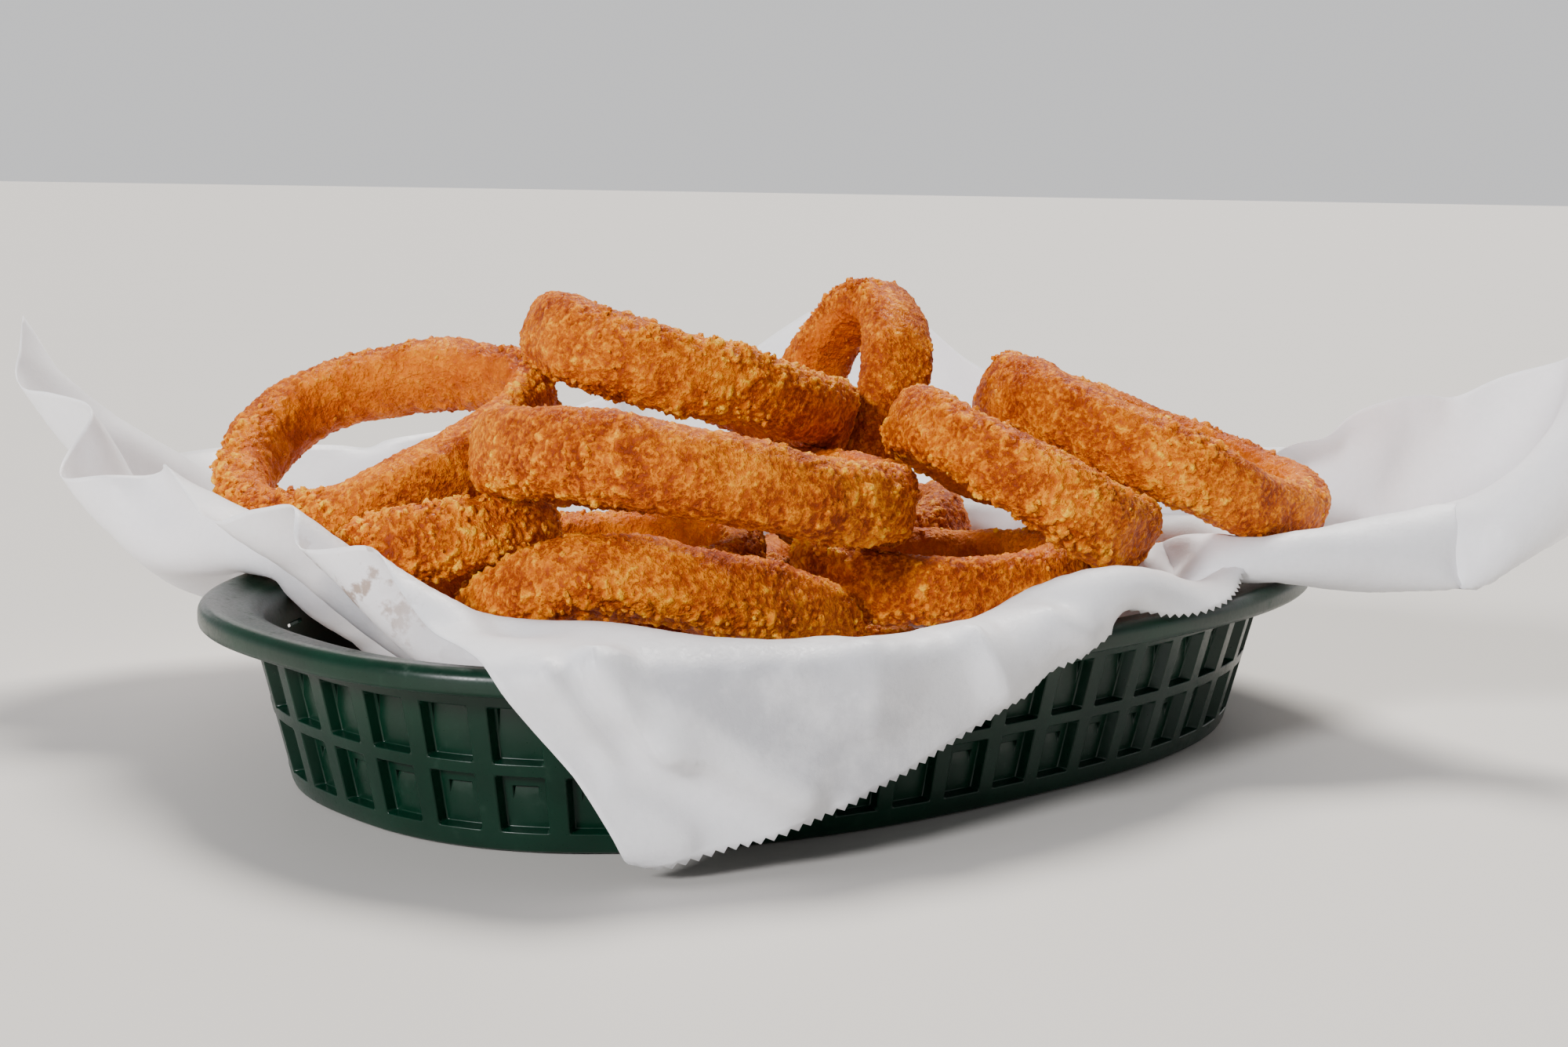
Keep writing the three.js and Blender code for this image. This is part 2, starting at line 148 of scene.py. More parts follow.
class StageSettings(bpy.types.PropertyGroup):
    """The floor and the lights."""

    floor: FloatProperty(name="Floor", description="Radius of the floor", default=30.0, unit="LENGTH")
    floor_colour: FloatVectorProperty(name="Floor colour", description="Colour of the floor", subtype="COLOR",
                                      default=colour(206, 202, 197))
    key: FloatProperty(name="Key", description="Strength of the main light, from above and behind",
                       default=5.0)
    softness: FloatProperty(name="Softness", description="Width of the main light in degrees", default=24.0)
    fill: FloatProperty(name="Fill", description="Strength of the light from the camera's side", default=3.9)
    sky: FloatProperty(name="Sky", description="Strength of the light from all round", default=0.28)


# ---- Numbers spread over a surface


def mixed(cells, seed):
    """Two whole 32-bit random numbers for each row of whole numbers, by multiplying and folding bits."""
    mask = np.uint64(0xFFFFFFFF)
    found = []
    for extra in (0, 1):
        h = np.full(cells.shape[:-1], (seed * 2 + extra + 1) * 0x9E3779B1 & 0xFFFFFFFF, np.uint64)
        for axis in range(cells.shape[-1]):
            h = (h ^ (cells[..., axis] + 4096).astype(np.uint64)) * np.uint64(0x85EBCA6B) & mask
            h ^= h >> np.uint64(15)
            h = h * np.uint64(0xC2B2AE35) & mask
            h ^= h >> np.uint64(13)
        found.append(h)
    return found


def part_of(bits, place):
    """Ten bits of a random number, from that place on, as a number from 0 to 1."""
    return ((bits >> np.uint64(place)) & np.uint64(1023)).astype(float) / 1023


def soft_noise(points, size, seed):
    """Smooth noise from -1 to 1: random values at the corners of cubes, blended by smooth steps."""
    q = points / size
    cell = np.floor(q).astype(np.int64)
    f = q - cell
    f = f * f * (3 - 2 * f)
    total = 0
    for corner in np.ndindex(*(2,) * points.shape[-1]):
        weight = np.prod(np.where(corner, f, 1 - f), axis=-1)
        total = total + weight * (2 * part_of(mixed(cell + np.array(corner), seed)[0], 7) - 1)
    return total


def crumb_domes(points, size, share, seed):
    """Crumbs half sunk in batter. A share of the cubes of that size hold one ball each. A point gets the
    highest ball's height over it, the square root of one minus its squared distance, and its tone."""
    q = points / size
    cell = np.floor(q).astype(np.int64)
    high = np.zeros(points.shape[:-1])
    tone = np.full(points.shape[:-1], 0.35)
    for step in np.ndindex(3, 3, 3):
        near = cell + np.array(step) - 1
        first, second = mixed(near, seed)
        middle = near + np.stack([part_of(first, p) for p in (0, 10, 20)], -1)
        radius = 0.28 + 0.34 * part_of(second, 0)
        distance = ((q - middle) ** 2).sum(-1) / radius**2
        dome = np.sqrt(np.clip(1 - distance, 0, None)) * radius
        dome = np.where(part_of(second, 10) < share, dome, 0)
        tone = np.where(dome > high, part_of(second, 20), tone)
        high = np.maximum(high, dome)
    return high * size, tone


def smooth_step(t):
    """0 below 0, 1 above 1, and a smooth rise between them."""
    t = np.clip(t, 0, 1)
    return t * t * (3 - 2 * t)


def rounded(wave, power):
    """A cosine or sine with its size raised to 2 over that power, and its sign kept."""
    return np.sign(wave) * np.abs(wave) ** (2 / power)


def unit(vectors, tiny=0.0):
    """Vectors cut or stretched to length 1; where a length may be 0, something tiny is added to it."""
    return vectors / (np.linalg.norm(vectors, axis=-1, keepdims=True) + tiny)


# ---- Meshes


def make_object(name, points, faces, attributes=None, smooth=True):
    """A mesh object from points and faces of equal length, with numbers per point as attributes."""
    points = np.asarray(points, float).reshape(-1, 3)
    faces = np.asarray(faces, np.int64)
    mesh = bpy.data.meshes.new(name)
    mesh.vertices.add(len(points))
    mesh.vertices.foreach_set("co", points.astype(np.float32).ravel())
    mesh.loops.add(faces.size)
    mesh.loops.foreach_set("vertex_index", faces.astype(np.int32).ravel())
    mesh.polygons.add(len(faces))
    mesh.polygons.foreach_set("loop_start", np.arange(0, faces.size, faces.shape[1], dtype=np.int32))
    mesh.update(calc_edges=True)
    mesh.validate()
    mesh.polygons.foreach_set("use_smooth", np.full(len(mesh.polygons), smooth))
    for key, values in (attributes or {}).items():
        stored = mesh.attributes.new(key, "FLOAT", "POINT").data
        stored.foreach_set("value", np.asarray(values, np.float32).ravel())
    piece = bpy.data.objects.new(name, mesh)
    bpy.context.scene.collection.objects.link(piece)
    return piece


def grid_faces(rows, columns, wrap_rows=False, wrap_columns=False):
    """Quads between neighbours of a grid of points, row by row; a wrapped direction closes on itself."""
    i = np.arange(rows if wrap_rows else rows - 1)
    j = np.arange(columns if wrap_columns else columns - 1)
    i, j = np.meshgrid(i, j, indexing="ij")
    k, m = (i + 1) % rows, (j + 1) % columns
    return np.stack([i * columns + j, k * columns + j, k * columns + m, i * columns + m], -1).reshape(-1, 4)


def points_of(mesh):
    """A mesh's points as rows of three numbers."""
    points = np.empty(len(mesh.vertices) * 3, np.float32)
    mesh.vertices.foreach_get("co", points)
    return points.reshape(-1, 3)


def finish_piece(piece, material, nodes=()):
    """Gives a piece its material and its place in the frame."""
    piece.data.materials.append(material)
    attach(piece, BODY)
    if nodes:
        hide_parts(*nodes)
    return piece


# ---- Node helpers


class Board:
    """A material's or a group's node tree, with short ways to add nodes and join them."""

    def __init__(self, tree, shader=None):
        self.tree = tree
        self.shader = shader

    def put(self, kind, values=None, **settings):
        """Adds a node. Settings are its own fields; values go to its inputs by name or place, and a value
        that is a node's output is linked."""
        node = self.tree.nodes.new(kind)
        for key, value in settings.items():
            setattr(node, key, value)
        for key, value in (values or {}).items():
            if isinstance(value, bpy.types.NodeSocket):
                self.tree.links.new(value, node.inputs[key])
            else:
                node.inputs[key].default_value = value
        return node

    def join(self, value, name):
        """Links a value to one of the shader's inputs."""
        self.tree.links.new(value, self.shader.inputs[name])

    def attribute(self, name):
        """A number stored on the mesh."""
        return self.put("ShaderNodeAttribute", attribute_name=name).outputs["Fac"]

    def noise(self, place, scale, detail=3.0, roughness=0.5):
        """Noise over a place."""
        values = {"Vector": place, "Scale": scale, "Detail": detail, "Roughness": roughness}
        return self.put("ShaderNodeTexNoise", values).outputs["Fac"]

    def add(self, a, b):
        """One number plus another."""
        return self.put("ShaderNodeMath", {0: a, 1: b}, operation="ADD").outputs[0]

    def times(self, a, b):
        """One number times another."""
        return self.put("ShaderNodeMath", {0: a, 1: b}, operation="MULTIPLY").outputs[0]

    def weighted(self, *shares):
        """The sum of values, each times its share."""
        parts = [self.times(value, share) for value, share in shares]
        total = parts[0]
        for part in parts[1:]:
            total = self.add(total, part)
        return total

    def spread(self, value, low, high, to_low=0.0, to_high=1.0):
        """Stretches the range from low to high onto another range, and clips it."""
        values = {"Value": value, "From Min": low, "From Max": high, "To Min": to_low, "To Max": to_high}
        return self.put("ShaderNodeMapRange", values, interpolation_type="SMOOTHSTEP").outputs["Result"]

    def blend(self, share, a, b):
        """A colour between two colours."""
        node = self.put("ShaderNodeMix", {"Factor": share}, data_type="RGBA", blend_type="MIX")
        for socket, value in ((node.inputs[6], a), (node.inputs[7], b)):
            if isinstance(value, bpy.types.NodeSocket):
                self.tree.links.new(value, socket)
            else:
                socket.default_value = (*value, 1)
        return node.outputs[2]

    def ramp(self, value, stops):
        """A colour read off a row of colours."""
        node = self.put("ShaderNodeValToRGB", {"Fac": value})
        node.color_ramp.interpolation = "B_SPLINE"
        row = node.color_ramp.elements
        while len(row) < len(stops):
            row.new(0.5)
        for element, (place, shade) in zip(row, stops):
            element.position = place
            element.color = (*shade, 1)
        return node.outputs["Color"]

    def place(self):
        """The point on the object, in metres."""
        return self.put("ShaderNodeTexCoord").outputs["Object"]

    def relief(self, height, distance, strength):
        """Joins a height to the shader's normal through a Bump node."""
        values = {"Height": height, "Distance": distance, "Strength": strength}
        self.join(self.put("ShaderNodeBump", values).outputs["Normal"], "Normal")


def new_material(name, values):
    """A material with a Principled shader, and its board."""
    material = bpy.data.materials.new(name)
    material.use_nodes = True
    shader = material.node_tree.nodes["Principled BSDF"]
    for key, value in values.items():
        shader.inputs[key].default_value = value
    return material, Board(material.node_tree, shader)


def mottle_group():
    """A group that gives two soft masks over a surface: broad patches and fine grain."""
    found = bpy.data.node_groups.get("Mottle")
    if found:
        return found
    group = bpy.data.node_groups.new("Mottle", "ShaderNodeTree")
    for name, start in (("Patch Scale", 40.0), ("Grain Scale", 900.0)):
        socket = group.interface.new_socket(name, in_out="INPUT", socket_type="NodeSocketFloat")
        socket.default_value = start
    for name in ("Patch", "Grain"):
        group.interface.new_socket(name, in_out="OUTPUT", socket_type="NodeSocketFloat")
    board = Board(group)
    given = board.put("NodeGroupInput")
    place = board.place()
    patch = board.spread(board.noise(place, given.outputs["Patch Scale"], 2.0), 0.3, 0.7)
    grain = board.spread(board.noise(place, given.outputs["Grain Scale"], 4.0, 0.6), 0.25, 0.75)
    board.put("NodeGroupOutput", {"Patch": patch, "Grain": grain})
    return group


def mottle(board, patch_scale, grain_scale):
    """Places the mottle group in a material."""
    node = board.put("ShaderNodeGroup", node_tree=mottle_group())
    node.inputs["Patch Scale"].default_value = patch_scale
    node.inputs["Grain Scale"].default_value = grain_scale
    return node.outputs["Patch"], node.outputs["Grain"]


# ---- The basket

# Height lines of the wall, from the foot to the flange, and the pockets and holes between them
WALL_LINES = np.array([1.6, 3.2, 4.3, 4.8, 10.5, 13.0, 15.0, 15.5, 17.9, 18.4, 23.4, 28.4, 28.9, 31.5, 34.2])
WALL_LINES = WALL_LINES / 1000
LOWER_POCKET, UPPER_POCKET = (0.0046, 0.0153), (0.0182, 0.0287)
LOWER_HOLE, UPPER_HOLE = (0.0104, 0.0131), (0.0233, 0.0285)
# Lines across one column as shares of its width: rib, its side, the frame of the upper hole, the lower hole
COLUMN_LINES = np.array([0.0, 0.07, 0.142, 0.178, 0.215, 0.315, 0.5, 0.685, 0.785, 0.822, 0.858, 0.93])
POCKET_SHARES, UPPER_SHARES, LOWER_SHARES = (0.16, 0.84), (0.20, 0.80), (0.31, 0.69)
# How far inside the rim's edge the wall's foot and its top stand, and the line that the columns are spaced on
FOOT_INSET, FLANGE_INSET, SPACING_INSET = 0.0175, 0.0096, 0.012
# The base and the floor: scale towards the middle, inset and height
BASE_ROWS = ((0.0, 0.021, 0.0012), (0.6, 0.021, 0.0012), (0.93, 0.021, 0.0012), (0.95, 0.021, 0.0),
             (1.0, 0.0192, 0.0), (1.0, 0.0180, 0.0005))
FLOOR_ROWS = ((1.0, 0.0222, 0.0028), (0.96, 0.0222, 0.0026), (0.6, 0.0222, 0.0026), (0.0, 0.0222, 0.0026))
# The rim under and over its two rounded turns: inset and depth below the top
RIM_UNDER = ((0.0088, 0.0040), (0.0034, 0.0038), (0.0026, 0.0046), (0.0018, 0.0050))
RIM_OVER = ((0.0040, 0.0003), (0.0062, 0.0011), (0.0092, 0.0012), (0.0112, 0.0017), (0.0124, 0.0030))
LIP_RADIUS, LIP_DEPTH, CROWN_RADIUS = 0.0011, 0.0038, 0.0022
EDGE_WIDTH, EDGE_ANGLE = 0.00025, math.radians(38)


def between(values, ends):
    """Whether values lie between two ends."""
    return (values > ends[0]) & (values < ends[1])


def outline_angles(settings):
    """Parameters of the rim's outline at which the columns' lines stand, even along its length."""
    t = np.linspace(0, 2 * np.pi, 20001)
    x, y = oval_points(t, settings, SPACING_INSET)
    length = np.concatenate([[0], np.cumsum(np.hypot(np.diff(x), np.diff(y)))])
    shares = (np.arange(settings.columns)[:, None] + COLUMN_LINES[None, :]).ravel() / settings.columns
    return np.interp(shares * length[-1], length, t)


def oval_points(t, settings, inset):
    """The rim's outline that far inside its edge: cosine and sine, each raised to 2 over the roundness."""
    x = (settings.half_length - inset) * rounded(np.cos(t), settings.roundness)
    y = (settings.half_width - inset) * rounded(np.sin(t), settings.roundness)
    return x, y


def basket_profile(settings):
    """The section as rows of scale towards the middle, inset from the rim's edge and height, in one closed
    run: under the base, up the wall's outside, round the rim, down its inside and over the floor."""
    slope = (FLANGE_INSET - FOOT_INSET) / (WALL_LINES[-1] - WALL_LINES[0])
    wall = FOOT_INSET + slope * (WALL_LINES - WALL_LINES[0])
    top = settings.height
    rim = [(inset, top - depth) for inset, depth in RIM_UNDER]
    for a in np.radians([-90, -60, -30, 0]):
        rim.append((LIP_RADIUS - LIP_RADIUS * np.cos(a), top - LIP_DEPTH + LIP_RADIUS * np.sin(a)))
    for a in np.radians(np.linspace(0, 90, 6)):
        rim.append((CROWN_RADIUS - CROWN_RADIUS * np.cos(a), top - CROWN_RADIUS + CROWN_RADIUS * np.sin(a)))
    rim += [(inset, top - depth) for inset, depth in RIM_OVER]
    outside = list(zip(wall, WALL_LINES))
    inside = list(zip(wall[::-1] + settings.wall, WALL_LINES[::-1]))
    upright = [(1.0, inset, z) for inset, z in outside + rim + inside[:-1]]
    first = len(BASE_ROWS)
    return np.array([*BASE_ROWS, *upright, *FLOOR_ROWS]), first, first + len(upright) - 1


def hole_mask(share):
    """Which faces of the wall, by height and place along the rim, lie in a hole."""
    following = np.roll(share, -1)
    following[following == 0] = 1
    middle = (share + following) / 2
    high = (WALL_LINES[:-1] + WALL_LINES[1:]) / 2
    lower = between(high, LOWER_HOLE)[:, None] & between(middle, LOWER_SHARES)[None, :]
    return lower | between(high, UPPER_HOLE)[:, None] & between(middle, UPPER_SHARES)[None, :]


def hole_walls(hole, outer, inner):
    """Quads that join the wall's outside to its inside along every edge where a hole begins or ends."""
    walls = []
    padded = np.pad(hole, ((1, 1), (0, 0)))
    for below in (0, 1):
        edge = padded[1:, :] & ~padded[:-1, :] if below else padded[:-1, :] & ~padded[1:, :]
        i, j = np.nonzero(edge)
        k = (j + 1) % hole.shape[1]
        quad = np.stack([outer[i, j], outer[i, k], inner[i, k], inner[i, j]], -1)
        walls.append(quad if below else quad[:, ::-1])
    for after in (0, 1):
        edge = hole & ~np.roll(hole, 1, axis=1) if after else ~hole & np.roll(hole, 1, axis=1)
        i, j = np.nonzero(edge)
        quad = np.stack([outer[i, j], outer[i + 1, j], inner[i + 1, j], inner[i, j]], -1)
        walls.append(quad[:, ::-1] if after else quad)
    return walls


def build_basket(settings):
    """The whole basket as one skin: each point is the outline at the profile's inset, scaled towards the
    middle, pushed in where a pocket lies. Faces in the holes are left out and their edges are walled. On the
    inside the opening lies one height line above the one on the outside, so each hole runs up to a slit."""
    t = outline_angles(settings)
    rows, first, last = basket_profile(settings)
    count, lines = len(t), len(WALL_LINES)
    share = COLUMN_LINES[np.arange(count) % len(COLUMN_LINES)]
    inset = np.repeat(rows[:, 1:2], count, axis=1)
    in_pocket = between(WALL_LINES, LOWER_POCKET) | between(WALL_LINES, UPPER_POCKET)
    inset[first:first + lines] += settings.pocket_depth * (between(share, POCKET_SHARES) & in_pocket[:, None])
    x, y = oval_points(t[None, :], settings, inset)
    points = np.stack([x * rows[:, :1], y * rows[:, :1], np.repeat(rows[:, 2:3], count, axis=1)], -1)
    hole = hole_mask(share)
    kept = np.ones((len(rows) - 1, count), bool)
    kept[first:first + lines - 1] &= ~hole
    kept[last - lines + 1:last] &= ~hole[::-1]
    skin = grid_faces(len(rows), count, wrap_columns=True)[kept.ravel()]
    along = np.arange(count)[None, :]
    outer = (first + np.arange(lines))[:, None] * count + along
    inner = (last - np.arange(lines))[:, None] * count + along
    faces = np.concatenate([skin, *hole_walls(hole, outer, inner)])
    piece = make_object("basket_shell", points, faces[:, ::-1])
    weld(piece)
    piece.data.set_sharp_from_angle(angle=EDGE_ANGLE)
    bevel = piece.modifiers.new("Edges", "BEVEL")
    bevel.width = EDGE_WIDTH
    bevel.segments = 2
    bevel.limit_method = "ANGLE"
    bevel.angle_limit = EDGE_ANGLE
    return piece


def weld(piece):
    """Joins points that lie on one another, such as the middle of the floor, and turns the faces outwards."""
    work = bmesh.new()
    work.from_mesh(piece.data)
    bmesh.ops.remove_doubles(work, verts=work.verts, dist=0.00001)
    bmesh.ops.recalc_face_normals(work, faces=work.faces)
    work.to_mesh(piece.data)
    work.free()


def plastic_material(settings):
    """Moulded plastic: a deep colour with faint clouds, scuffs on the gloss and a slight orange-peel."""
    shades = np.array(settings.colour)
    material, board = new_material(
        "Moulded plastic", {"Roughness": 0.33, "Specular IOR Level": 0.32, "Subsurface Weight": 0.05,
                            "Subsurface Radius": (0.4, 1.0, 0.8), "Subsurface Scale": 0.0015}
    )
    patch, grain = mottle(board, 60.0, 1500.0)
    shade = board.blend(patch, tuple(shades * 0.8), tuple(shades * 1.15))
    scuff = board.spread(board.noise(board.place(), 260.0, 6.0, 0.7), 0.56, 0.72)
    board.join(board.blend(board.times(scuff, 0.22), shade, tuple(shades * 1.8 + 0.02)), "Base Color")
    board.join(board.add(board.weighted((scuff, 0.18), (grain, 0.10)), 0.27), "Roughness")
    board.relief(board.noise(board.place(), 420.0, 2.0), 0.00006, 0.5)
    return material


# ---- The rings

# How many waves round a ring its middle line and its strand's sizes keep, and the points of a node's section
LINE_WAVES, SIZE_WAVES, SECTION_POINTS = 6, 2, 8
# The share of places that hold a crumb, how far crumbs are bent out of round, and heights in the crust; the
# crumb height also sets where the painted highlight on a crumb's top is full
COARSE_SHARE, FINE_SHARE = 0.55, 0.85
CRUMB_SHIFT, CRUMB_HIGHLIGHT_HEIGHT, GRIT_HEIGHT, SKIN_SINK = 0.0008, 0.0008, 0.00012, 0.0004


def periodic(values, harmonics, places):
    """A smooth closed curve through evenly numbered values: its Fourier sum up to a few harmonics."""
    count = len(values)
    waves = np.fft.fft(values, axis=0) / count
    order = np.fft.fftfreq(count, 1 / count)
    kept = np.abs(order) <= harmonics
    turn = np.exp(2j * np.pi * places[:, None] * order[kept][None, :])
    return (turn @ waves[kept]).real


def ring_strand(name):
    """The line along the middle of a ring, its plane's normal and the strand's half sizes, from its node:
    the points are sorted by their angle in the ring's plane and taken eight at a time."""
    points = np.unique(np.round(points_of(frame["nodes"][name].data).astype(float), 6), axis=0)
    middle = points.mean(0)
    axes = np.linalg.svd(points - middle, full_matrices=False)[2]
    normal = axes[2] * (1 if axes[2][2] >= 0 else -1)
    across = np.cross(normal, axes[0])
    flat = np.stack([(points - middle) @ axes[0], (points - middle) @ across], -1)
    points = points[np.argsort(np.arctan2(flat[:, 1], flat[:, 0]))]
    sections = points[: len(points) // SECTION_POINTS * SECTION_POINTS].reshape(-1, SECTION_POINTS, 3)
    line = sections.mean(1)
    out = line - middle
    out -= (out @ normal)[:, None] * normal
    out = unit(out)
    wide = ((sections - line[:, None]) * out[:, None]).sum(-1)
    tall = ((sections - line[:, None]) * normal).sum(-1)
    return line, normal, np.ptp(wide, axis=1) / 2, np.ptp(tall, axis=1) / 2


def ring_skin(name, settings):
    """A ring before its crumbs: round its middle line runs a section whose cosine and sine are raised to a
    power below one. Gives the points, the ways out of the surface, and the section's cosine and sine."""
    line, normal, wide, tall = ring_strand(name)
    u = np.arange(settings.steps_round) / settings.steps_round
    v = np.arange(settings.steps_across) / settings.steps_across * 2 * np.pi
    middle = periodic(line, LINE_WAVES, u)
    wide = periodic(wide[:, None], SIZE_WAVES, u) * settings.plumpness
    tall = periodic(tall[:, None], SIZE_WAVES, u) * settings.plumpness
    along = unit(np.roll(middle, -1, axis=0) - np.roll(middle, 1, axis=0))
    out = unit(np.cross(along, normal))
    up = np.cross(out, along)
    c, s = rounded(np.cos(v), settings.squareness), rounded(np.sin(v), settings.squareness)
    points = middle[:, None] + out[:, None] * (wide * c)[..., None] + up[:, None] * (tall * s)[..., None]
    du = np.roll(points, -1, axis=0) - np.roll(points, 1, axis=0)
    dv = np.roll(points, -1, axis=1) - np.roll(points, 1, axis=1)
    face = unit(np.cross(du, dv), 1e-12)
    face *= np.sign((face * (points - middle[:, None])).sum(-1, keepdims=True))
    return points, face, c, s


def ring_points(name, settings, seed):
    """A crusted ring: each point of its skin moves out by soft lumps and by the crumbs sunk in the batter,
    which stand up more in some patches and on the outside than on the inside of the ring."""
    points, face, c, s = ring_skin(name, settings)
    lumps = soft_noise(points, 0.015, seed) + 0.5 * soft_noise(points, 0.0065, seed + 1)
    patches = 0.5 + 0.9 * soft_noise(points, 0.017, seed + 2) + 0.2 * (np.abs(s)[None, :] - 0.5)
    rough = smooth_step(patches) * (1 - 0.5 * smooth_step(-1.2 * c)[None, :])
    shift = np.stack([soft_noise(points, 0.0021, seed + 6 + axis) for axis in range(3)], -1)
    bent = points + CRUMB_SHIFT * shift
    coarse, tone = crumb_domes(bent, settings.coarse, COARSE_SHARE, seed + 3)
    fine, tone_fine = crumb_domes(bent, settings.fine, FINE_SHARE, seed + 4)
    grit = soft_noise(points, 0.0016, seed + 5) + shift[..., 0]
    crumbs = coarse * (0.16 + 0.60 * rough**1.5) + fine * (0.42 + 0.40 * rough) + GRIT_HEIGHT * grit
    points = points + face * (settings.lumps * lumps + crumbs - SKIN_SINK)[..., None]
    # Painted shade and highlight: this crumb height makes the crust's colour darker low between the crumbs
    # and lighter on their tops.
    height = np.clip(crumbs / CRUMB_HIGHLIGHT_HEIGHT, 0, 1)
    tone = np.where(coarse > 0.0005, tone, 0.4 + 0.4 * (tone_fine - 0.5))
    inner = smooth_step(-1.4 * c)[None, :] * np.ones_like(height)
    return points, {"crumb": height, "tone": tone, "inner": inner, "rough": rough}


def crust_material(settings):
    """Fried crumb: golden, with painted shade between the crumbs and a painted highlight on their tops,
    browner and paler patches, a smooth amber batter on the inside of the rings and an oily sheen."""
    material, board = new_material(
        "Fried crumb", {"Roughness": 0.5, "Specular IOR Level": 0.14, "Subsurface Weight": 0.06,
                        "Subsurface Radius": (1.0, 0.35, 0.05), "Subsurface Scale": 0.0012}
    )
    patch, grain = mottle(board, 42.0, 1300.0)
    blotch = board.spread(board.noise(board.place(), 150.0, 4.0, 0.6), 0.34, 0.66)
    speck = board.spread(board.noise(board.place(), 850.0, 3.0, 0.65), 0.40, 0.64)
    # The crumb height paints shade between the crumbs and a highlight on their tops; tone, patches, blotches,
    # specks and grain are the crust's own toasting.
    level = board.weighted(
        (board.attribute("crumb"), 0.34), (board.attribute("tone"), 0.14), (patch, 0.20), (blotch, 0.20),
        (speck, 0.26), (board.add(grain, -0.5), 0.16),
    )
    dark, middle, light = (np.array(c) for c in (settings.dark, settings.middle, settings.light))
    # The row's lowest end, darker than Dark, is the deepest painted shade in the crevices; its top, Light, is
    # painted highlight mixed with pale toasting.
    stops = [(0.0, tuple(dark * 0.4)), (0.24, tuple(dark)), (0.44, tuple(0.5 * (dark + middle))),
             (0.62, tuple(middle)), (0.84, tuple(0.5 * (middle + light))), (1.0, tuple(light))]
    amber = board.blend(blotch, tuple(middle * (0.7, 0.45, 0.3)), tuple(middle * (1.0, 0.95, 0.7)))
    inside = board.times(board.attribute("inner"), 0.6)
    board.join(board.blend(inside, board.ramp(level, stops), amber), "Base Color")
    board.join(board.spread(grain, 0.0, 1.0, 0.34, 0.6), "Roughness")
    board.relief(board.add(speck, board.times(grain, 0.5)), 0.00035, 0.8)
    return material


# ---- The paper

# Each level of settling: points along a side, rounds, fall in a round, and whether the pull starts gently
SHEET_LEVELS = ((65, 420, 0.00003, True), (129, 160, 0.00001, False))
# Each smoothing run after them: rounds and how strongly a point goes to the middle of its neighbours
SMOOTHING_RUNS = ((40, 0.8), (20, 0.4))
# The gap kept round every piece and the strands' radius for it
PAPER_GAP, STRAND_RADIUS = 0.0006, 0.0068
# The lowest corner of the grid that tells how far the heap is, and its numbers of points
FIELD_LOW, FIELD_SHAPE = (-0.15, -0.15, -0.01), (110, 115, 45)
# The most that a point moves in a round, and carries on into the next one
MOST_MOVE, MOST_SPEED = 0.0015, 0.002
# How much larger the hidden part of the sheet is, and how stiffly it resists bending
EASE, BEND = 0.16, 0.5
# The inside and the outside of the wall: inset at the foot, less at the top, over the wall's height
INNER_FOOT, INNER_LEAN, OUTER_FOOT, OUTER_LEAN, WALL_HEIGHT = 0.0215, 0.0085, 0.0175, 0.0080, 0.0355
# Heights: the basket's floor, where the rim begins inside, where the wall ends and the rim begins outside,
# and the sheet's lowest place over the table
FLOOR_TOP, RIM_FROM, WALL_TO, RIM_OUTSIDE, TABLE_GAP = 0.0030, 0.028, 0.033, 0.031, 0.0012

# The first drape: insets of the wall's foot and top, with what the curtain adds, and their heights
DRAPE_FOOT, DRAPE_TOP, DRAPE_HEIGHTS = (0.024, 0.020), (0.0125, 0.008), (0.0036, 0.0405)
# Sectors of directions in degrees with their fade: the standing curtain, the flap and the slack in the flap
CURTAIN, FLAP, SLACK, MOST_SLACK = (160, 192, 18), (214, 280, 14), (224, 248, 30), 0.030

# Where the sheet's edges lie: shares along the cut edge and the side edge, and the place in millimetres
EDGE_PLACES = (
    (0.0, 0.0, (-98, -69, 5.5)), (0.04, 0.0, (-87, -76, 5)), (0.088, 0.0, (-74, -82, 5)),
    (0.133, 0.0, (-62, -85.5, 10)), (0.179, 0.0, (-49.5, -88, 15.5)), (0.26, 0.0, (-27.5, -90, 26.5)),
    (0.32, 0.0, (-11, -90, 34)), (0.394, 0.0, (10, -88, 41.5)), (0.53, 0.0, (56, -78, 41)),
    (0.635, 0.0, (89, -72, 41.5)), (0.78, 0.0, (119, -107, 55)), (1.0, 0.0, (146, -124, 91)),
    (1.0, 0.084, (136, -106, 85)), (1.0, 0.169, (125, -86, 76)), (1.0, 0.317, (139, -45, 63)),
    (1.0, 0.414, (147, -18, 54)), (1.0, 0.679, (129, 59, 69)), (1.0, 0.793, (126, 88, 88)),
    (1.0, 1.0, (156, 143, 84)), (0.58, 1.0, (56, 138, 65)), (0.55, 1.0, (47, 146, 59)),
    (0.35, 1.0, (-10, 158, 49)), (0.15, 1.0, (-76, 168, 50)), (0.0, 1.0, (-105, 164, 88.5)),
    (0.0, 0.88, (-110, 140, 73)), (0.0, 0.8, (-110, 122, 63)), (0.0, 0.65, (-106, 93, 57)),
    (0.0, 0.444, (-119, 33, 57)), (0.0, 0.378, (-120, 13, 59)), (0.0, 0.355, (-119, 9, 52)),
    (0.0, 0.295, (-116, -8, 56)), (0.0, 0.261, (-116, -17, 50)), (0.0, 0.221, (-114, -27, 43)),
    (0.0, 0.185, (-116, -37, 41.5)), (0.0, 0.132, (-119, -53, 37)), (0.0, 0.063, (-109, -63, 21)),
)
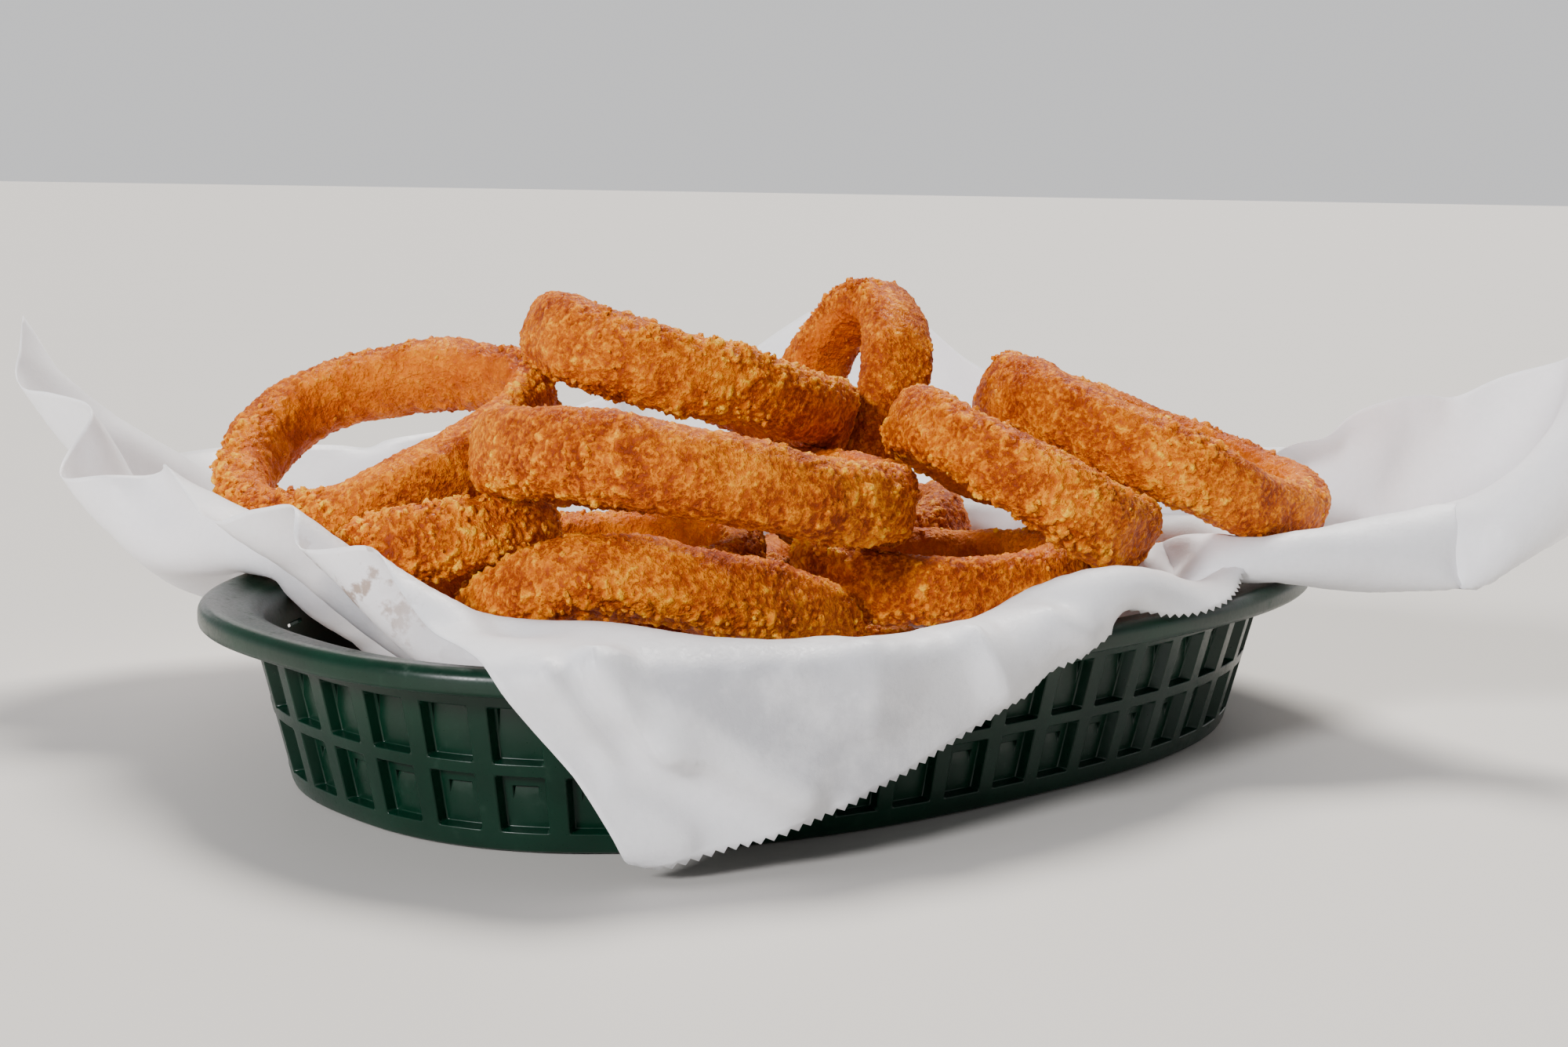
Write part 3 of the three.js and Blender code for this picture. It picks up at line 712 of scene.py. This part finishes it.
# Places within the sheet: the fold over the front of the rim and the sheet just behind it
INNER_PLACES = (
    (0.05, 0.2, (-103, -38, 39)), (0.055, 0.26, (-107, -16, 38)), (0.1, 0.2, (-92, -46, 38)),
    (0.1, 0.3, (-101, -14, 27)), (0.15, 0.15, (-72, -66, 38)), (0.16, 0.27, (-88, -32, 17)),
    (0.19, 0.09, (-53, -80, 40)), (0.2, 0.2, (-68, -56, 20)), (0.24, 0.14, (-44, -70, 28)),
    (0.26, 0.064, (-31, -85, 40)), (0.3, 0.15, (-27, -67, 22)), (0.34, 0.045, (-8, -86, 42)),
    (0.36, 0.13, (-8, -70, 28)), (0.4, 0.078, (5, -85, 44)),
)

# Creases of the flap, in millimetres on the flat sheet: two ends, the height, the width on the side that
# faces along the cut edge and the width on the other side
CREASES = (
    (14, 44, 17, 14, 3.4, 8, 4), (14, 26, 38, 0, 4.2, 14, 6), (8, 44, 8, 18, 2.2, 3, 4),
    (3, 40, 22, 36, 1.8, 3, 3), (58, 28, 50, 8, 2.0, 12, 12), (78, 22, 79, 0, 2.4, 9, 5),
    (96, 16, 106, 0, 1.6, 8, 6), (3, 20, 13, 1, 1.6, 6, 6),
)
# On the side of this line that faces along the cut edge the flap gets painted grey shade, for its facet
# turned from the light and the dark wall behind the sheet
SHADE_LINE = ((10, 44), (38, 0))
# Greasy smudges on the curtain: their middle and how far they spread
SMUDGE_PLACE, SMUDGE_SIZE = (-0.114, -0.006, 0.046), 0.015


def fullness(x, y, basket):
    """How full the basket's outline is at a point: 1 on its edge."""
    fill = (np.abs(x) / basket.half_length) ** basket.roundness
    fill = fill + (np.abs(y) / basket.half_width) ** basket.roundness
    return fill ** (1 / basket.roundness)


def sector(degrees, start, end, fade):
    """1 within a sector of directions, fading to 0 on both sides."""
    off = np.abs((degrees - (start + end) / 2 + 540) % 360 - 180)
    return 1 - smooth_step((off - (end - start) / 2) / fade)


def reach(way, inset, basket):
    """How far from the middle the basket's outline, that far inside its edge, lies along each way."""
    power = basket.roundness
    long_way = (np.abs(way[0]) / (basket.half_length - inset)) ** power
    return (long_way + (np.abs(way[1]) / (basket.half_width - inset)) ** power) ** (-1 / power)


def first_drape(count, paper, basket, strides=90):
    """The sheet before it settles: each ray from the middle lies on the floor, climbs the wall, crosses the
    rim and runs on, rising towards the corners, standing up at one end and hanging down over the front."""
    s = np.linspace(-0.5, 0.5, count) * paper.side
    a, b = np.meshgrid(s, s, indexing="ij")
    cosine, sine = math.cos(paper.turn), math.sin(paper.turn)
    x = a * cosine - b * sine + paper.centre[0]
    y = a * sine + b * cosine + paper.centre[1]
    r = np.hypot(x, y) + 1e-9
    way = np.stack([x / r, y / r])
    degrees = np.degrees(np.arctan2(y, x)) % 360
    curtain, flap = sector(degrees, *CURTAIN), sector(degrees, *FLAP)
    foot = reach(way, DRAPE_FOOT[0] + DRAPE_FOOT[1] * curtain, basket)
    top = reach(way, DRAPE_TOP[0] + DRAPE_TOP[1] * curtain, basket)
    low, high = DRAPE_HEIGHTS
    wall = np.hypot(top - foot, high - low)
    slack = MOST_SLACK * sector(degrees, *SLACK) * np.clip((r - foot) / 0.06, 0, 1)
    past = np.clip(r - foot, 0, None) + slack
    distance, z = np.minimum(r, foot), np.full_like(r, low)
    stride = past / strides
    climb = np.arctan2(high - low, top - foot)
    for step in range(strides):
        mid = (step + 0.5) * stride
        beyond = np.clip(mid - wall, 0, None)
        rise = np.radians(12 + 250 * beyond)
        rise = rise + curtain * (np.radians(62) - rise)
        fold = np.radians(-93) * smooth_step((beyond - 0.016) / 0.006)
        rise = rise + flap * (fold - rise)
        angle = np.where(mid < wall, climb, rise)
        distance = distance + stride * np.cos(angle)
        z = z + stride * np.sin(angle)
    return np.stack([way[0] * distance, way[1] * distance, np.maximum(z, 0.001)], -1)


class HeapField:
    """The distance to the rings' strands on a coarse grid of points, and the way out of them."""

    def __init__(self, lines, radius, step=0.003, spread=0.020):
        self.low = np.array(FIELD_LOW)
        self.step = step
        self.shape = np.array(FIELD_SHAPE)
        self.far = np.full(self.shape, 1.0)
        m = int(np.ceil(spread / step))
        near = np.stack(np.meshgrid(*[np.arange(-m, m + 1)] * 3, indexing="ij"), -1).reshape(-1, 3)
        for point in np.concatenate(lines):
            i = np.round((point - self.low) / step).astype(int) + near
            i = i[np.all((i >= 0) & (i < self.shape), axis=1)]
            distance = np.linalg.norm(i * step + self.low - point, axis=1) - radius
            np.minimum.at(self.far, tuple(i.T), distance)
        self.slope = np.stack(np.gradient(self.far, step), -1)

    def push(self, points, gap):
        """Moves points that are too near a strand straight away from it."""
        i = np.clip(np.round((points - self.low) / self.step).astype(int), 0, self.shape - 1).reshape(-1, 3)
        cell = tuple(i.T)
        way = unit(self.slope[cell], 1e-9)
        off = points.reshape(-1, 3) - (i * self.step + self.low)
        deep = np.clip(gap - self.far[cell] - (off * way).sum(1), 0, 0.004)
        deep[self.far[cell] > 0.5] = 0
        points += (way * deep[:, None]).reshape(points.shape)


def keep_clear(points, gap, basket):
    """Keeps points off the table, the basket's floor, its wall and its rim, in place."""
    x, y, z = points[..., 0], points[..., 1], points[..., 2]
    r = np.hypot(x, y) + 1e-9
    edge = r / fullness(x, y, basket)
    inset = edge - r
    rim = basket.height + 0.0005 + gap
    h = np.clip(z / WALL_HEIGHT, 0, 1)
    inner = INNER_FOOT - INNER_LEAN * h + gap
    outer = OUTER_FOOT - OUTER_LEAN * h - gap
    inside = inset > 0.5 * (inner + outer)
    z = np.where(inside & (z < FLOOR_TOP + gap), FLOOR_TOP + gap, z)
    near = (z < rim) & (inset < inner) & (inset > -gap)
    lift = rim - z
    up = near & (lift < inner - inset) & (lift < inset + gap)
    high_in = near & ~up & (inside | (inner - inset < inset + gap)) & (z > RIM_FROM)
    low_in = near & ~up & (z <= RIM_FROM) & inside
    low_out = (z <= WALL_TO) & (inset < 0.5 * (inner + outer)) & (inset > outer) & ~high_in & ~low_in
    rim_out = near & ~up & ~high_in & (z > RIM_OUTSIDE)
    new = np.where(high_in | low_in, inner, inset)
    new = np.where(rim_out, -gap, new)
    new = np.where(low_out, outer, new)
    z = np.where(up, z + 0.8 * lift, z)
    share = (edge - new) / r
    points[..., 0] = x * share
    points[..., 1] = y * share
    points[..., 2] = np.maximum(z, TABLE_GAP)


def sheet_links(count, step):
    """Pairs of points and their rest lengths: edges, diagonals and longer pairs that resist bending. The
    part that lies hidden in the basket is a little larger, as paper pressed into small folds is."""
    index = np.arange(count * count).reshape(count, count)
    share = np.linspace(0, 1, count)
    off = smooth_step((0.42 - np.abs(share - 0.5)) / 0.14)
    back = off * smooth_step((share - 0.22) / 0.16)
    ease = (1 + EASE * off[:, None] * back[None, :]).ravel()
    kinds = [(1, 0, 1.0), (0, 1, 1.0), (1, 1, 0.8), (1, -1, 0.8)]
    for k in (2, 4):
        bend = BEND * min(1.0, (0.005 / (step * k)) ** 2)
        kinds += [(k, 0, bend), (0, k, bend), (k, k, bend / 2), (k, -k, bend / 2)]
    made = []
    for di, dj, stiff in kinds:
        i = np.arange(count - di)
        j = np.arange(max(0, -dj), count - max(0, dj))
        start, end = index[np.ix_(i, j)], index[np.ix_(i + di, j + dj)]
        turn = (i // di % 2)[:, None] if di else (j // dj % 2)[None, :]
        turn = np.broadcast_to(turn, start.shape)
        for side in (0, 1):
            one, two = start[turn == side], end[turn == side]
            rest = step * math.hypot(di, dj) * (ease[one] + ease[two]) / 2
            made.append((one, two, rest, stiff))
    return made


def edge_pulls(count, step):
    """For each place that the sheet's edge is held at: the points round it, their shares and the target."""
    wide = max(1, int(round(0.007 / step)))
    near, middle, share, target = [], [], [], []
    for a, b, place in EDGE_PLACES + INNER_PLACES:
        i, j = round(a * (count - 1)), round(b * (count - 1))
        k, m = np.meshgrid(np.arange(max(0, i - wide), min(count, i + wide + 1)),
                           np.arange(max(0, j - wide), min(count, j + wide + 1)), indexing="ij")
        near.append((k * count + m).ravel())
        middle.append(np.full(k.size, i * count + j))
        share.append(np.exp(-((np.hypot(k - i, m - j) * step / 0.0045) ** 2)).ravel())
        target.append(np.repeat(np.array([place], float) / 1000, k.size, axis=0))
    near, middle, share, target = (np.concatenate(part) for part in (near, middle, share, target))
    return near, middle, share[:, None], target


def settle(sheet, rounds, heap, basket, side, gravity, strength=0.6, damping=0.9, smoothing=0.25,
           rising=False, repeats=3):
    """Lets the sheet settle. In each round its points fall a little, are pulled to the places of its edge,
    keep their distances, are smoothed, and are moved out of the heap and the basket."""
    count = sheet.shape[0]
    step = side / (count - 1)
    links = sheet_links(count, step)
    near, middle, share, target = edge_pulls(count, step)
    points = sheet.reshape(-1, 3).copy()
    speed = np.zeros_like(points)
    for turn in range(rounds):
        before = points.copy()
        firm = strength * min(1.0, 0.05 + turn / (0.6 * rounds)) if rising else strength
        points = points + speed * damping
        points[:, 2] -= gravity
        for _ in range(repeats):
            np.add.at(points, near, (target - points[middle]) * share * firm)
            for one, two, rest, stiff in links:
                away = points[two] - points[one]
                length = np.sqrt((away * away).sum(1)) + 1e-12
                pull = (length - rest) / length * 0.5 * stiff
                if stiff <= BEND:
                    pull = np.minimum(pull, 0.0)
                away *= pull[:, None]
                points[one] += away
                points[two] -= away
        move = points - before
        size = np.sqrt((move * move).sum(1))[:, None]
        points = before + move * np.minimum(1, MOST_MOVE / (size + 1e-12))
        net = points.reshape(count, count, 3)
        around = 0.25 * (net[2:, 1:-1] + net[:-2, 1:-1] + net[1:-1, 2:] + net[1:-1, :-2])
        net[1:-1, 1:-1] += smoothing * (around - net[1:-1, 1:-1])
        for edge in (net[0], net[-1], net[:, 0], net[:, -1]):
            edge[1:-1] += smoothing * (0.5 * (edge[2:] + edge[:-2]) - edge[1:-1])
        if turn % 2 == 0:
            heap.push(net, PAPER_GAP)
        keep_clear(net, PAPER_GAP, basket)
        points = net.reshape(-1, 3)
        speed = points - before
        size = np.linalg.norm(speed, axis=1, keepdims=True)
        speed *= np.minimum(1, MOST_SPEED / (size + 1e-12))
    return points.reshape(count, count, 3)


def resample(sheet, rows, columns):
    """The sheet's points at other shares along its sides, by cubic curves through four neighbours."""
    def along(values, places):
        """The values at those shares along the first side."""
        last = len(values) - 1
        q = np.clip(places, 0, 1) * last
        i = np.clip(np.floor(q).astype(int), 0, last - 1)
        f = (q - i).reshape((-1,) + (1,) * (values.ndim - 1))
        p0, p1 = values[np.clip(i - 1, 0, last)], values[i]
        p2, p3 = values[i + 1], values[np.clip(i + 2, 0, last)]
        bend = 2 * p0 - 5 * p1 + 4 * p2 - p3 + (3 * (p1 - p2) + p3 - p0) * f
        return p1 + 0.5 * f * (p2 - p0 + f * bend)
    return along(along(sheet, rows).transpose(1, 0, 2), columns).transpose(1, 0, 2)


def draped_sheet(paper, basket):
    """The sheet settled over the basket and under the heap, coarse first and then twice as fine."""
    round_ring = np.arange(54) / 54
    lines = [periodic(ring_strand(name)[0], LINE_WAVES, round_ring) for name in RING_NODES]
    heap = HeapField(lines, STRAND_RADIUS)
    sheet = first_drape(SHEET_LEVELS[0][0], paper, basket)
    for count, rounds, gravity, rising in SHEET_LEVELS:
        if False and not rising:
            rounds = rounds // 4
        shares = np.linspace(0, 1, count)
        sheet = resample(sheet, shares, shares) if len(sheet) != count else sheet
        sheet = settle(sheet, rounds, heap, basket, paper.side, gravity, rising=rising)
    for rounds, smoothing in SMOOTHING_RUNS:
        sheet = settle(sheet, rounds, heap, basket, paper.side, 0, 0.2, 0.0, smoothing, repeats=1)
    return sheet


def creases(flat):
    """Heights of the sharp creases on the flap: each falls off evenly from its line to its width on that
    side, and fades towards the ends of the line."""
    total = np.zeros(flat.shape[:2])
    for ax, ay, bx, by, height, ahead, behind in CREASES:
        start, run = np.array([ax, ay]) / 1000, np.array([bx - ax, by - ay]) / 1000
        length = math.hypot(*run)
        away = flat - start
        along = (away @ run) / length**2
        off = (away[..., 0] * run[1] - away[..., 1] * run[0]) / length
        width = np.where(off < 0, ahead, behind) / 1000
        fade = smooth_step(np.clip((0.5 - np.abs(along - 0.5)) / 0.2, 0, 1))
        total += height / 1000 * fade * np.clip(1 - np.abs(off) / width, 0, None) ** 1.3
    return total


def flap_shade_band(flat):
    """Where painted grey shade lies on the flap: a band past its line, which fades away from it and up the
    flap.
    """
    (ax, ay), (bx, by) = np.array(SHADE_LINE) / 1000
    past = ((by - ay) * (ax - flat[..., 0]) + (bx - ax) * (flat[..., 1] - ay)) / math.hypot(bx - ax, by - ay)
    band = smooth_step(past / 0.003) * smooth_step((0.046 - past) / 0.032)
    return band * smooth_step((0.050 - flat[..., 1]) / 0.02)


def build_paper(paper, basket):
    """The sheet as a grid over two shares. Along the cut edge every other point lies a tooth's depth back,
    and small crumples, the folded ridges of smooth noise, stand along the sheet's normal."""
    sheet = draped_sheet(paper, basket)
    a = np.linspace(0, 1, 257)
    tooth = paper.tooth / paper.side
    b = np.concatenate([[0, tooth, 2 * tooth], np.linspace(4 * tooth, 1, 144)])
    points = resample(sheet, a, b)
    points[1::2, 0] = points[1::2, 1]
    points[:, 1] = 0.5 * (points[:, 1] + points[:, 2])
    face = unit(np.cross(np.gradient(points, axis=0), np.gradient(points, axis=1)), 1e-12)
    flat = np.stack(np.meshgrid(a, b, indexing="ij"), -1) * paper.side
    folds = 1 - 2 * np.abs(soft_noise(flat + 0.004 * soft_noise(flat, 0.03, 71)[..., None], 0.034, 72))
    small = 1 - 2 * np.abs(soft_noise(flat, 0.012, 73))
    points = points + face * (0.0009 * folds + 0.00022 * small + creases(flat))[..., None]
    points[..., 2] = np.maximum(points[..., 2], 0.0010)
    smudge = np.exp(-(((points - np.array(SMUDGE_PLACE)) / SMUDGE_SIZE) ** 2).sum(-1))
    # The smudge is greasy stains; the other attribute is where painted grey shade lies on the flap.
    found = {"smudge": smudge, "flap_shade": flap_shade_band(flat)}
    piece = make_object("paper_sheet", points, grid_faces(len(a), len(b)), found)
    thick = piece.modifiers.new("Thickness", "SOLIDIFY")
    thick.thickness = paper.thickness
    thick.offset = 0
    return piece


def paper_material(paper):
    """Thin waxed paper: light passes into it, faint fibres and clouds, a dull sheen, greasy smudges and
    painted grey shade on a band of the flap.
    """
    clean, grease = np.array(paper.colour), np.array(paper.grease)
    material, board = new_material(
        "Waxed paper", {"Roughness": 0.42, "Specular IOR Level": 0.4, "Subsurface Weight": 0.5,
                        "Subsurface Radius": (1.0, 0.95, 0.9), "Subsurface Scale": 0.0006}
    )
    patch, grain = mottle(board, 70.0, 1100.0)
    fibres = board.spread(board.noise(board.place(), 520.0, 8.0, 0.7), 0.42, 0.62)
    shade = board.blend(board.times(patch, 0.35), tuple(clean), tuple(clean * (0.93, 0.93, 0.94)))
    shade = board.blend(board.times(fibres, 0.18), shade, tuple(clean * 0.88))
    spots = board.spread(board.noise(board.place(), 190.0, 4.0, 0.6), 0.50, 0.62)
    spots = board.times(spots, board.attribute("smudge"))
    shade = board.blend(board.times(spots, 0.9), shade, tuple(grease))
    # Painted shade: past the flap's crease line the colour goes grey, to about half the paper's brightness,
    # mottled by noise.
    shade_cloud = board.spread(board.noise(board.place(), 60.0, 5.0, 0.6), 0.36, 0.6, 0.35, 1.0)
    shade_cloud = board.times(shade_cloud, board.attribute("flap_shade"))
    shade = board.blend(board.times(shade_cloud, 0.75), shade, tuple(clean * (0.50, 0.51, 0.53)))
    board.join(shade, "Base Color")
    board.join(board.spread(grain, 0.0, 1.0, 0.38, 0.55), "Roughness")
    board.relief(board.add(fibres, board.times(grain, 0.4)), 0.00008, 0.35)
    return material


# ---- Crumbs

CRUMBS_EACH = 260
CRUMB_SIZES = (0.0004, 0.0010)


def crumb_shape():
    """A small ball of twenty faces, the corners of an icosahedron at distance one."""
    g = (1 + math.sqrt(5)) / 2
    corners = [(-1, g, 0), (1, g, 0), (-1, -g, 0), (1, -g, 0), (0, -1, g), (0, 1, g), (0, -1, -g),
               (0, 1, -g), (g, 0, -1), (g, 0, 1), (-g, 0, -1), (-g, 0, 1)]
    faces = [(0, 11, 5), (0, 5, 1), (0, 1, 7), (0, 7, 10), (0, 10, 11), (1, 5, 9), (5, 11, 4), (11, 10, 2),
             (10, 7, 6), (7, 1, 8), (3, 9, 4), (3, 4, 2), (3, 2, 6), (3, 6, 8), (3, 8, 9), (4, 9, 5),
             (2, 4, 11), (6, 2, 10), (8, 6, 7), (9, 8, 1)]
    return np.array(corners) / math.sqrt(1 + g * g), np.array(faces)


def scatter(name, places, sizes, seed):
    """One crumb at each place: the ball turned at random, its corners pulled in and out, at that size."""
    corners, faces = crumb_shape()
    random = np.random.default_rng(seed)
    count = len(places)
    turns = np.linalg.qr(random.normal(size=(count, 3, 3)))[0]
    turns *= np.sign(np.linalg.det(turns))[:, None, None]
    shape = corners[None] * random.uniform(0.62, 1.2, (count, len(corners), 1))
    shape = shape * random.uniform(0.55, 1.15, (count, 1, 3))
    points = places[:, None] + np.einsum("nij,nkj->nki", turns, shape) * sizes[:, None, None]
    joined = faces[None] + (np.arange(count) * len(corners))[:, None, None]
    tone = np.repeat(random.uniform(0, 1, count), len(corners))
    level = np.clip(0.35 + 0.6 * tone, 0, 1)
    zero = np.zeros_like(tone)
    found = {"crumb": level, "tone": tone, "inner": zero, "rough": zero + 1}
    return make_object(name, points, joined.reshape(-1, 3), found, smooth=False)


# ---- Operators


class ONION_OT_basket(bpy.types.Operator):
    """Builds the slotted plastic basket"""

    bl_idname = "onion.basket"
    bl_label = "Basket"

    def execute(self, context):
        settings = context.scene.onion_basket
        piece = build_basket(settings)
        finish_piece(piece, plastic_material(settings), ["basket"])
        return {"FINISHED"}


class ONION_OT_rings(bpy.types.Operator):
    """Builds every crumbed ring of the heap"""

    bl_idname = "onion.rings"
    bl_label = "Rings"

    def execute(self, context):
        settings = context.scene.onion_crust
        if not RING_NODES:
            raise RuntimeError("the frame has no ring to build on")
        material = crust_material(settings)
        for number, name in enumerate(RING_NODES):
            points, found = ring_points(name, settings, 10 * number + 5)
            faces = grid_faces(points.shape[0], points.shape[1], True, True)
            piece = make_object("crusted_" + name, points, faces, found)
            finish_piece(piece, material, [name])
        return {"FINISHED"}


class ONION_OT_crumbs(bpy.types.Operator):
    """Scatters crumbs that stick out of the rings"""

    bl_idname = "onion.crumbs"
    bl_label = "Crumbs"

    def execute(self, context):
        random = np.random.default_rng(41)
        places, sizes = [], []
        for name in RING_NODES:
            mesh = bpy.data.objects["crusted_" + name].data
            rough = np.empty(len(mesh.vertices), np.float32)
            mesh.attributes["rough"].data.foreach_get("value", rough)
            chance = rough**3 + 0.02
            chosen = random.choice(len(rough), CRUMBS_EACH, replace=False, p=chance / chance.sum())
            places.append(points_of(mesh)[chosen])
            sizes.append(random.uniform(*CRUMB_SIZES, len(chosen)))
        piece = scatter("crumbs_on_rings", np.concatenate(places), np.concatenate(sizes), 43)
        finish_piece(piece, bpy.data.materials["Fried crumb"])
        return {"FINISHED"}


class ONION_OT_paper(bpy.types.Operator):
    """Drapes the sheet of paper over the basket"""

    bl_idname = "onion.paper"
    bl_label = "Paper"

    def execute(self, context):
        paper = context.scene.onion_paper
        piece = build_paper(paper, context.scene.onion_basket)
        finish_piece(piece, paper_material(paper), ["paper_liner"])
        return {"FINISHED"}


CAMERA_PLACE = (-0.34805, -0.38499, 0.12308)
CAMERA_FORWARD = (0.66098, 0.73665, -0.14301)
CAMERA_RIGHT = (0.74573, -0.66606, 0.01579)
LENS, SENSOR = 54.0, 36.0
# Where the lamps' light comes from and its tint, the width of the fill, and the light from all round
KEY_FROM, KEY_TINT = (0.42, 0.30, 0.80), (1.0, 0.96, 0.90)
FILL_FROM, FILL_TINT, FILL_WIDTH = (-1.0, -0.24, 0.50), (0.98, 0.98, 1.0), 12.0
NEAR_HORIZON, OVERHEAD = np.array((0.80, 0.80, 0.81)), np.array((0.93, 0.95, 1.0))
FLOOR_SIDES = 96


def aim(piece, place, forward, right):
    """Puts a piece at a place, looking along forward with right to its right."""
    forward = np.array(forward) / np.linalg.norm(forward)
    right = np.array(right) - forward * np.dot(right, forward)
    right /= np.linalg.norm(right)
    up = np.cross(right, forward)
    turned = Matrix([list(row) + [0] for row in np.stack([right, up, -forward], 1)] + [[0, 0, 0, 1]])
    piece.matrix_world = Matrix.Translation(place) @ turned


def sun(name, place, strength, width, tint):
    """A far lamp whose even light comes from that side, as wide in the sky as that many degrees."""
    data = bpy.data.lights.new(name, "SUN")
    data.energy = strength
    data.angle = math.radians(width)
    data.color = tint
    lamp = bpy.data.objects.new(name, data)
    bpy.context.scene.collection.objects.link(lamp)
    lamp.matrix_world = Vector(place).to_track_quat("Z", "Y").to_matrix().to_4x4()


def soft_room(sky):
    """The light from all round: pale near the horizon, and as strong as the sky above."""
    world = bpy.data.worlds.new("Soft room")
    world.use_nodes = True
    board = Board(world.node_tree, world.node_tree.nodes["Background"])
    way = board.put("ShaderNodeTexCoord").outputs["Generated"]
    height = board.put("ShaderNodeSeparateXYZ", {"Vector": way}).outputs["Z"]
    above = board.spread(height, 0.06, 0.40)
    board.join(board.blend(above, tuple(NEAR_HORIZON), tuple(OVERHEAD * sky)), "Color")
    return world


def floor_material(settings):
    """A plain pale top with a faint grain."""
    shade = np.array(settings.floor_colour)
    material, board = new_material("Pale top", {"Roughness": 0.6})
    patch, grain = mottle(board, 9.0, 500.0)
    share = board.weighted((patch, 0.6), (grain, 0.4))
    board.join(board.blend(share, tuple(shade * 0.985), tuple(shade)), "Base Color")
    return material


class ONION_OT_stage(bpy.types.Operator):
    """Sets the floor, the lamps, the light from all round and the camera"""

    bl_idname = "onion.stage"
    bl_label = "Stage"

    def execute(self, context):
        settings = context.scene.onion_stage
        turn = np.linspace(0, 2 * np.pi, FLOOR_SIDES + 1)[:-1]
        edge = np.stack([np.cos(turn), np.sin(turn), 0 * turn], -1) * settings.floor
        floor = make_object("floor", edge, [range(FLOOR_SIDES)])
        floor.data.materials.append(floor_material(settings))
        sun("key_sun", KEY_FROM, settings.key, settings.softness, KEY_TINT)
        sun("fill_sun", FILL_FROM, settings.fill, FILL_WIDTH, FILL_TINT)
        context.scene.world = soft_room(settings.sky)
        data = bpy.data.cameras.new("camera")
        data.lens = LENS
        data.sensor_width = SENSOR
        data.clip_start = 0.01
        camera = bpy.data.objects.new("camera", data)
        context.scene.collection.objects.link(camera)
        aim(camera, CAMERA_PLACE, CAMERA_FORWARD, CAMERA_RIGHT)
        context.scene.camera = camera
        return {"FINISHED"}


class ONION_PT_panel(bpy.types.Panel):
    """Lists the pieces and their settings"""

    bl_label = "Onion Rings"
    bl_idname = "ONION_PT_panel"
    bl_space_type = "VIEW_3D"
    bl_region_type = "UI"
    bl_category = "Onion Rings"

    def draw(self, context):
        for label, operator, group in STEPS:
            box = self.layout.box()
            box.operator(operator, text=label)
            settings = getattr(context.scene, group)
            for key in type(settings).__annotations__:
                box.prop(settings, key)


STEPS = (
    ("Stage", "onion.stage", "onion_stage"),
    ("Basket", "onion.basket", "onion_basket"),
    ("Rings", "onion.rings", "onion_crust"),
    ("Crumbs", "onion.crumbs", "onion_crust"),
    ("Paper", "onion.paper", "onion_paper"),
)
GROUPS = {
    "onion_basket": BasketSettings,
    "onion_crust": CrustSettings,
    "onion_paper": PaperSettings,
    "onion_stage": StageSettings,
}
CLASSES = (
    BasketSettings, CrustSettings, PaperSettings, StageSettings,
    ONION_OT_stage, ONION_OT_basket, ONION_OT_rings, ONION_OT_crumbs, ONION_OT_paper, ONION_PT_panel,
)


def register():
    """Adds the classes and their settings to Blender."""
    for one in CLASSES:
        bpy.utils.register_class(one)
    for name, group in GROUPS.items():
        setattr(bpy.types.Scene, name, PointerProperty(type=group))


def unregister():
    """Takes the classes and their settings out again."""
    for name in GROUPS:
        delattr(bpy.types.Scene, name)
    for one in reversed(CLASSES):
        bpy.utils.unregister_class(one)


def main():
    """Builds everything in order."""
    register()
    bpy.ops.onion.stage()
    bpy.ops.onion.basket()
    bpy.ops.onion.rings()
    bpy.ops.onion.crumbs()
    bpy.ops.onion.paper()


if __name__ == "__main__":
    main()
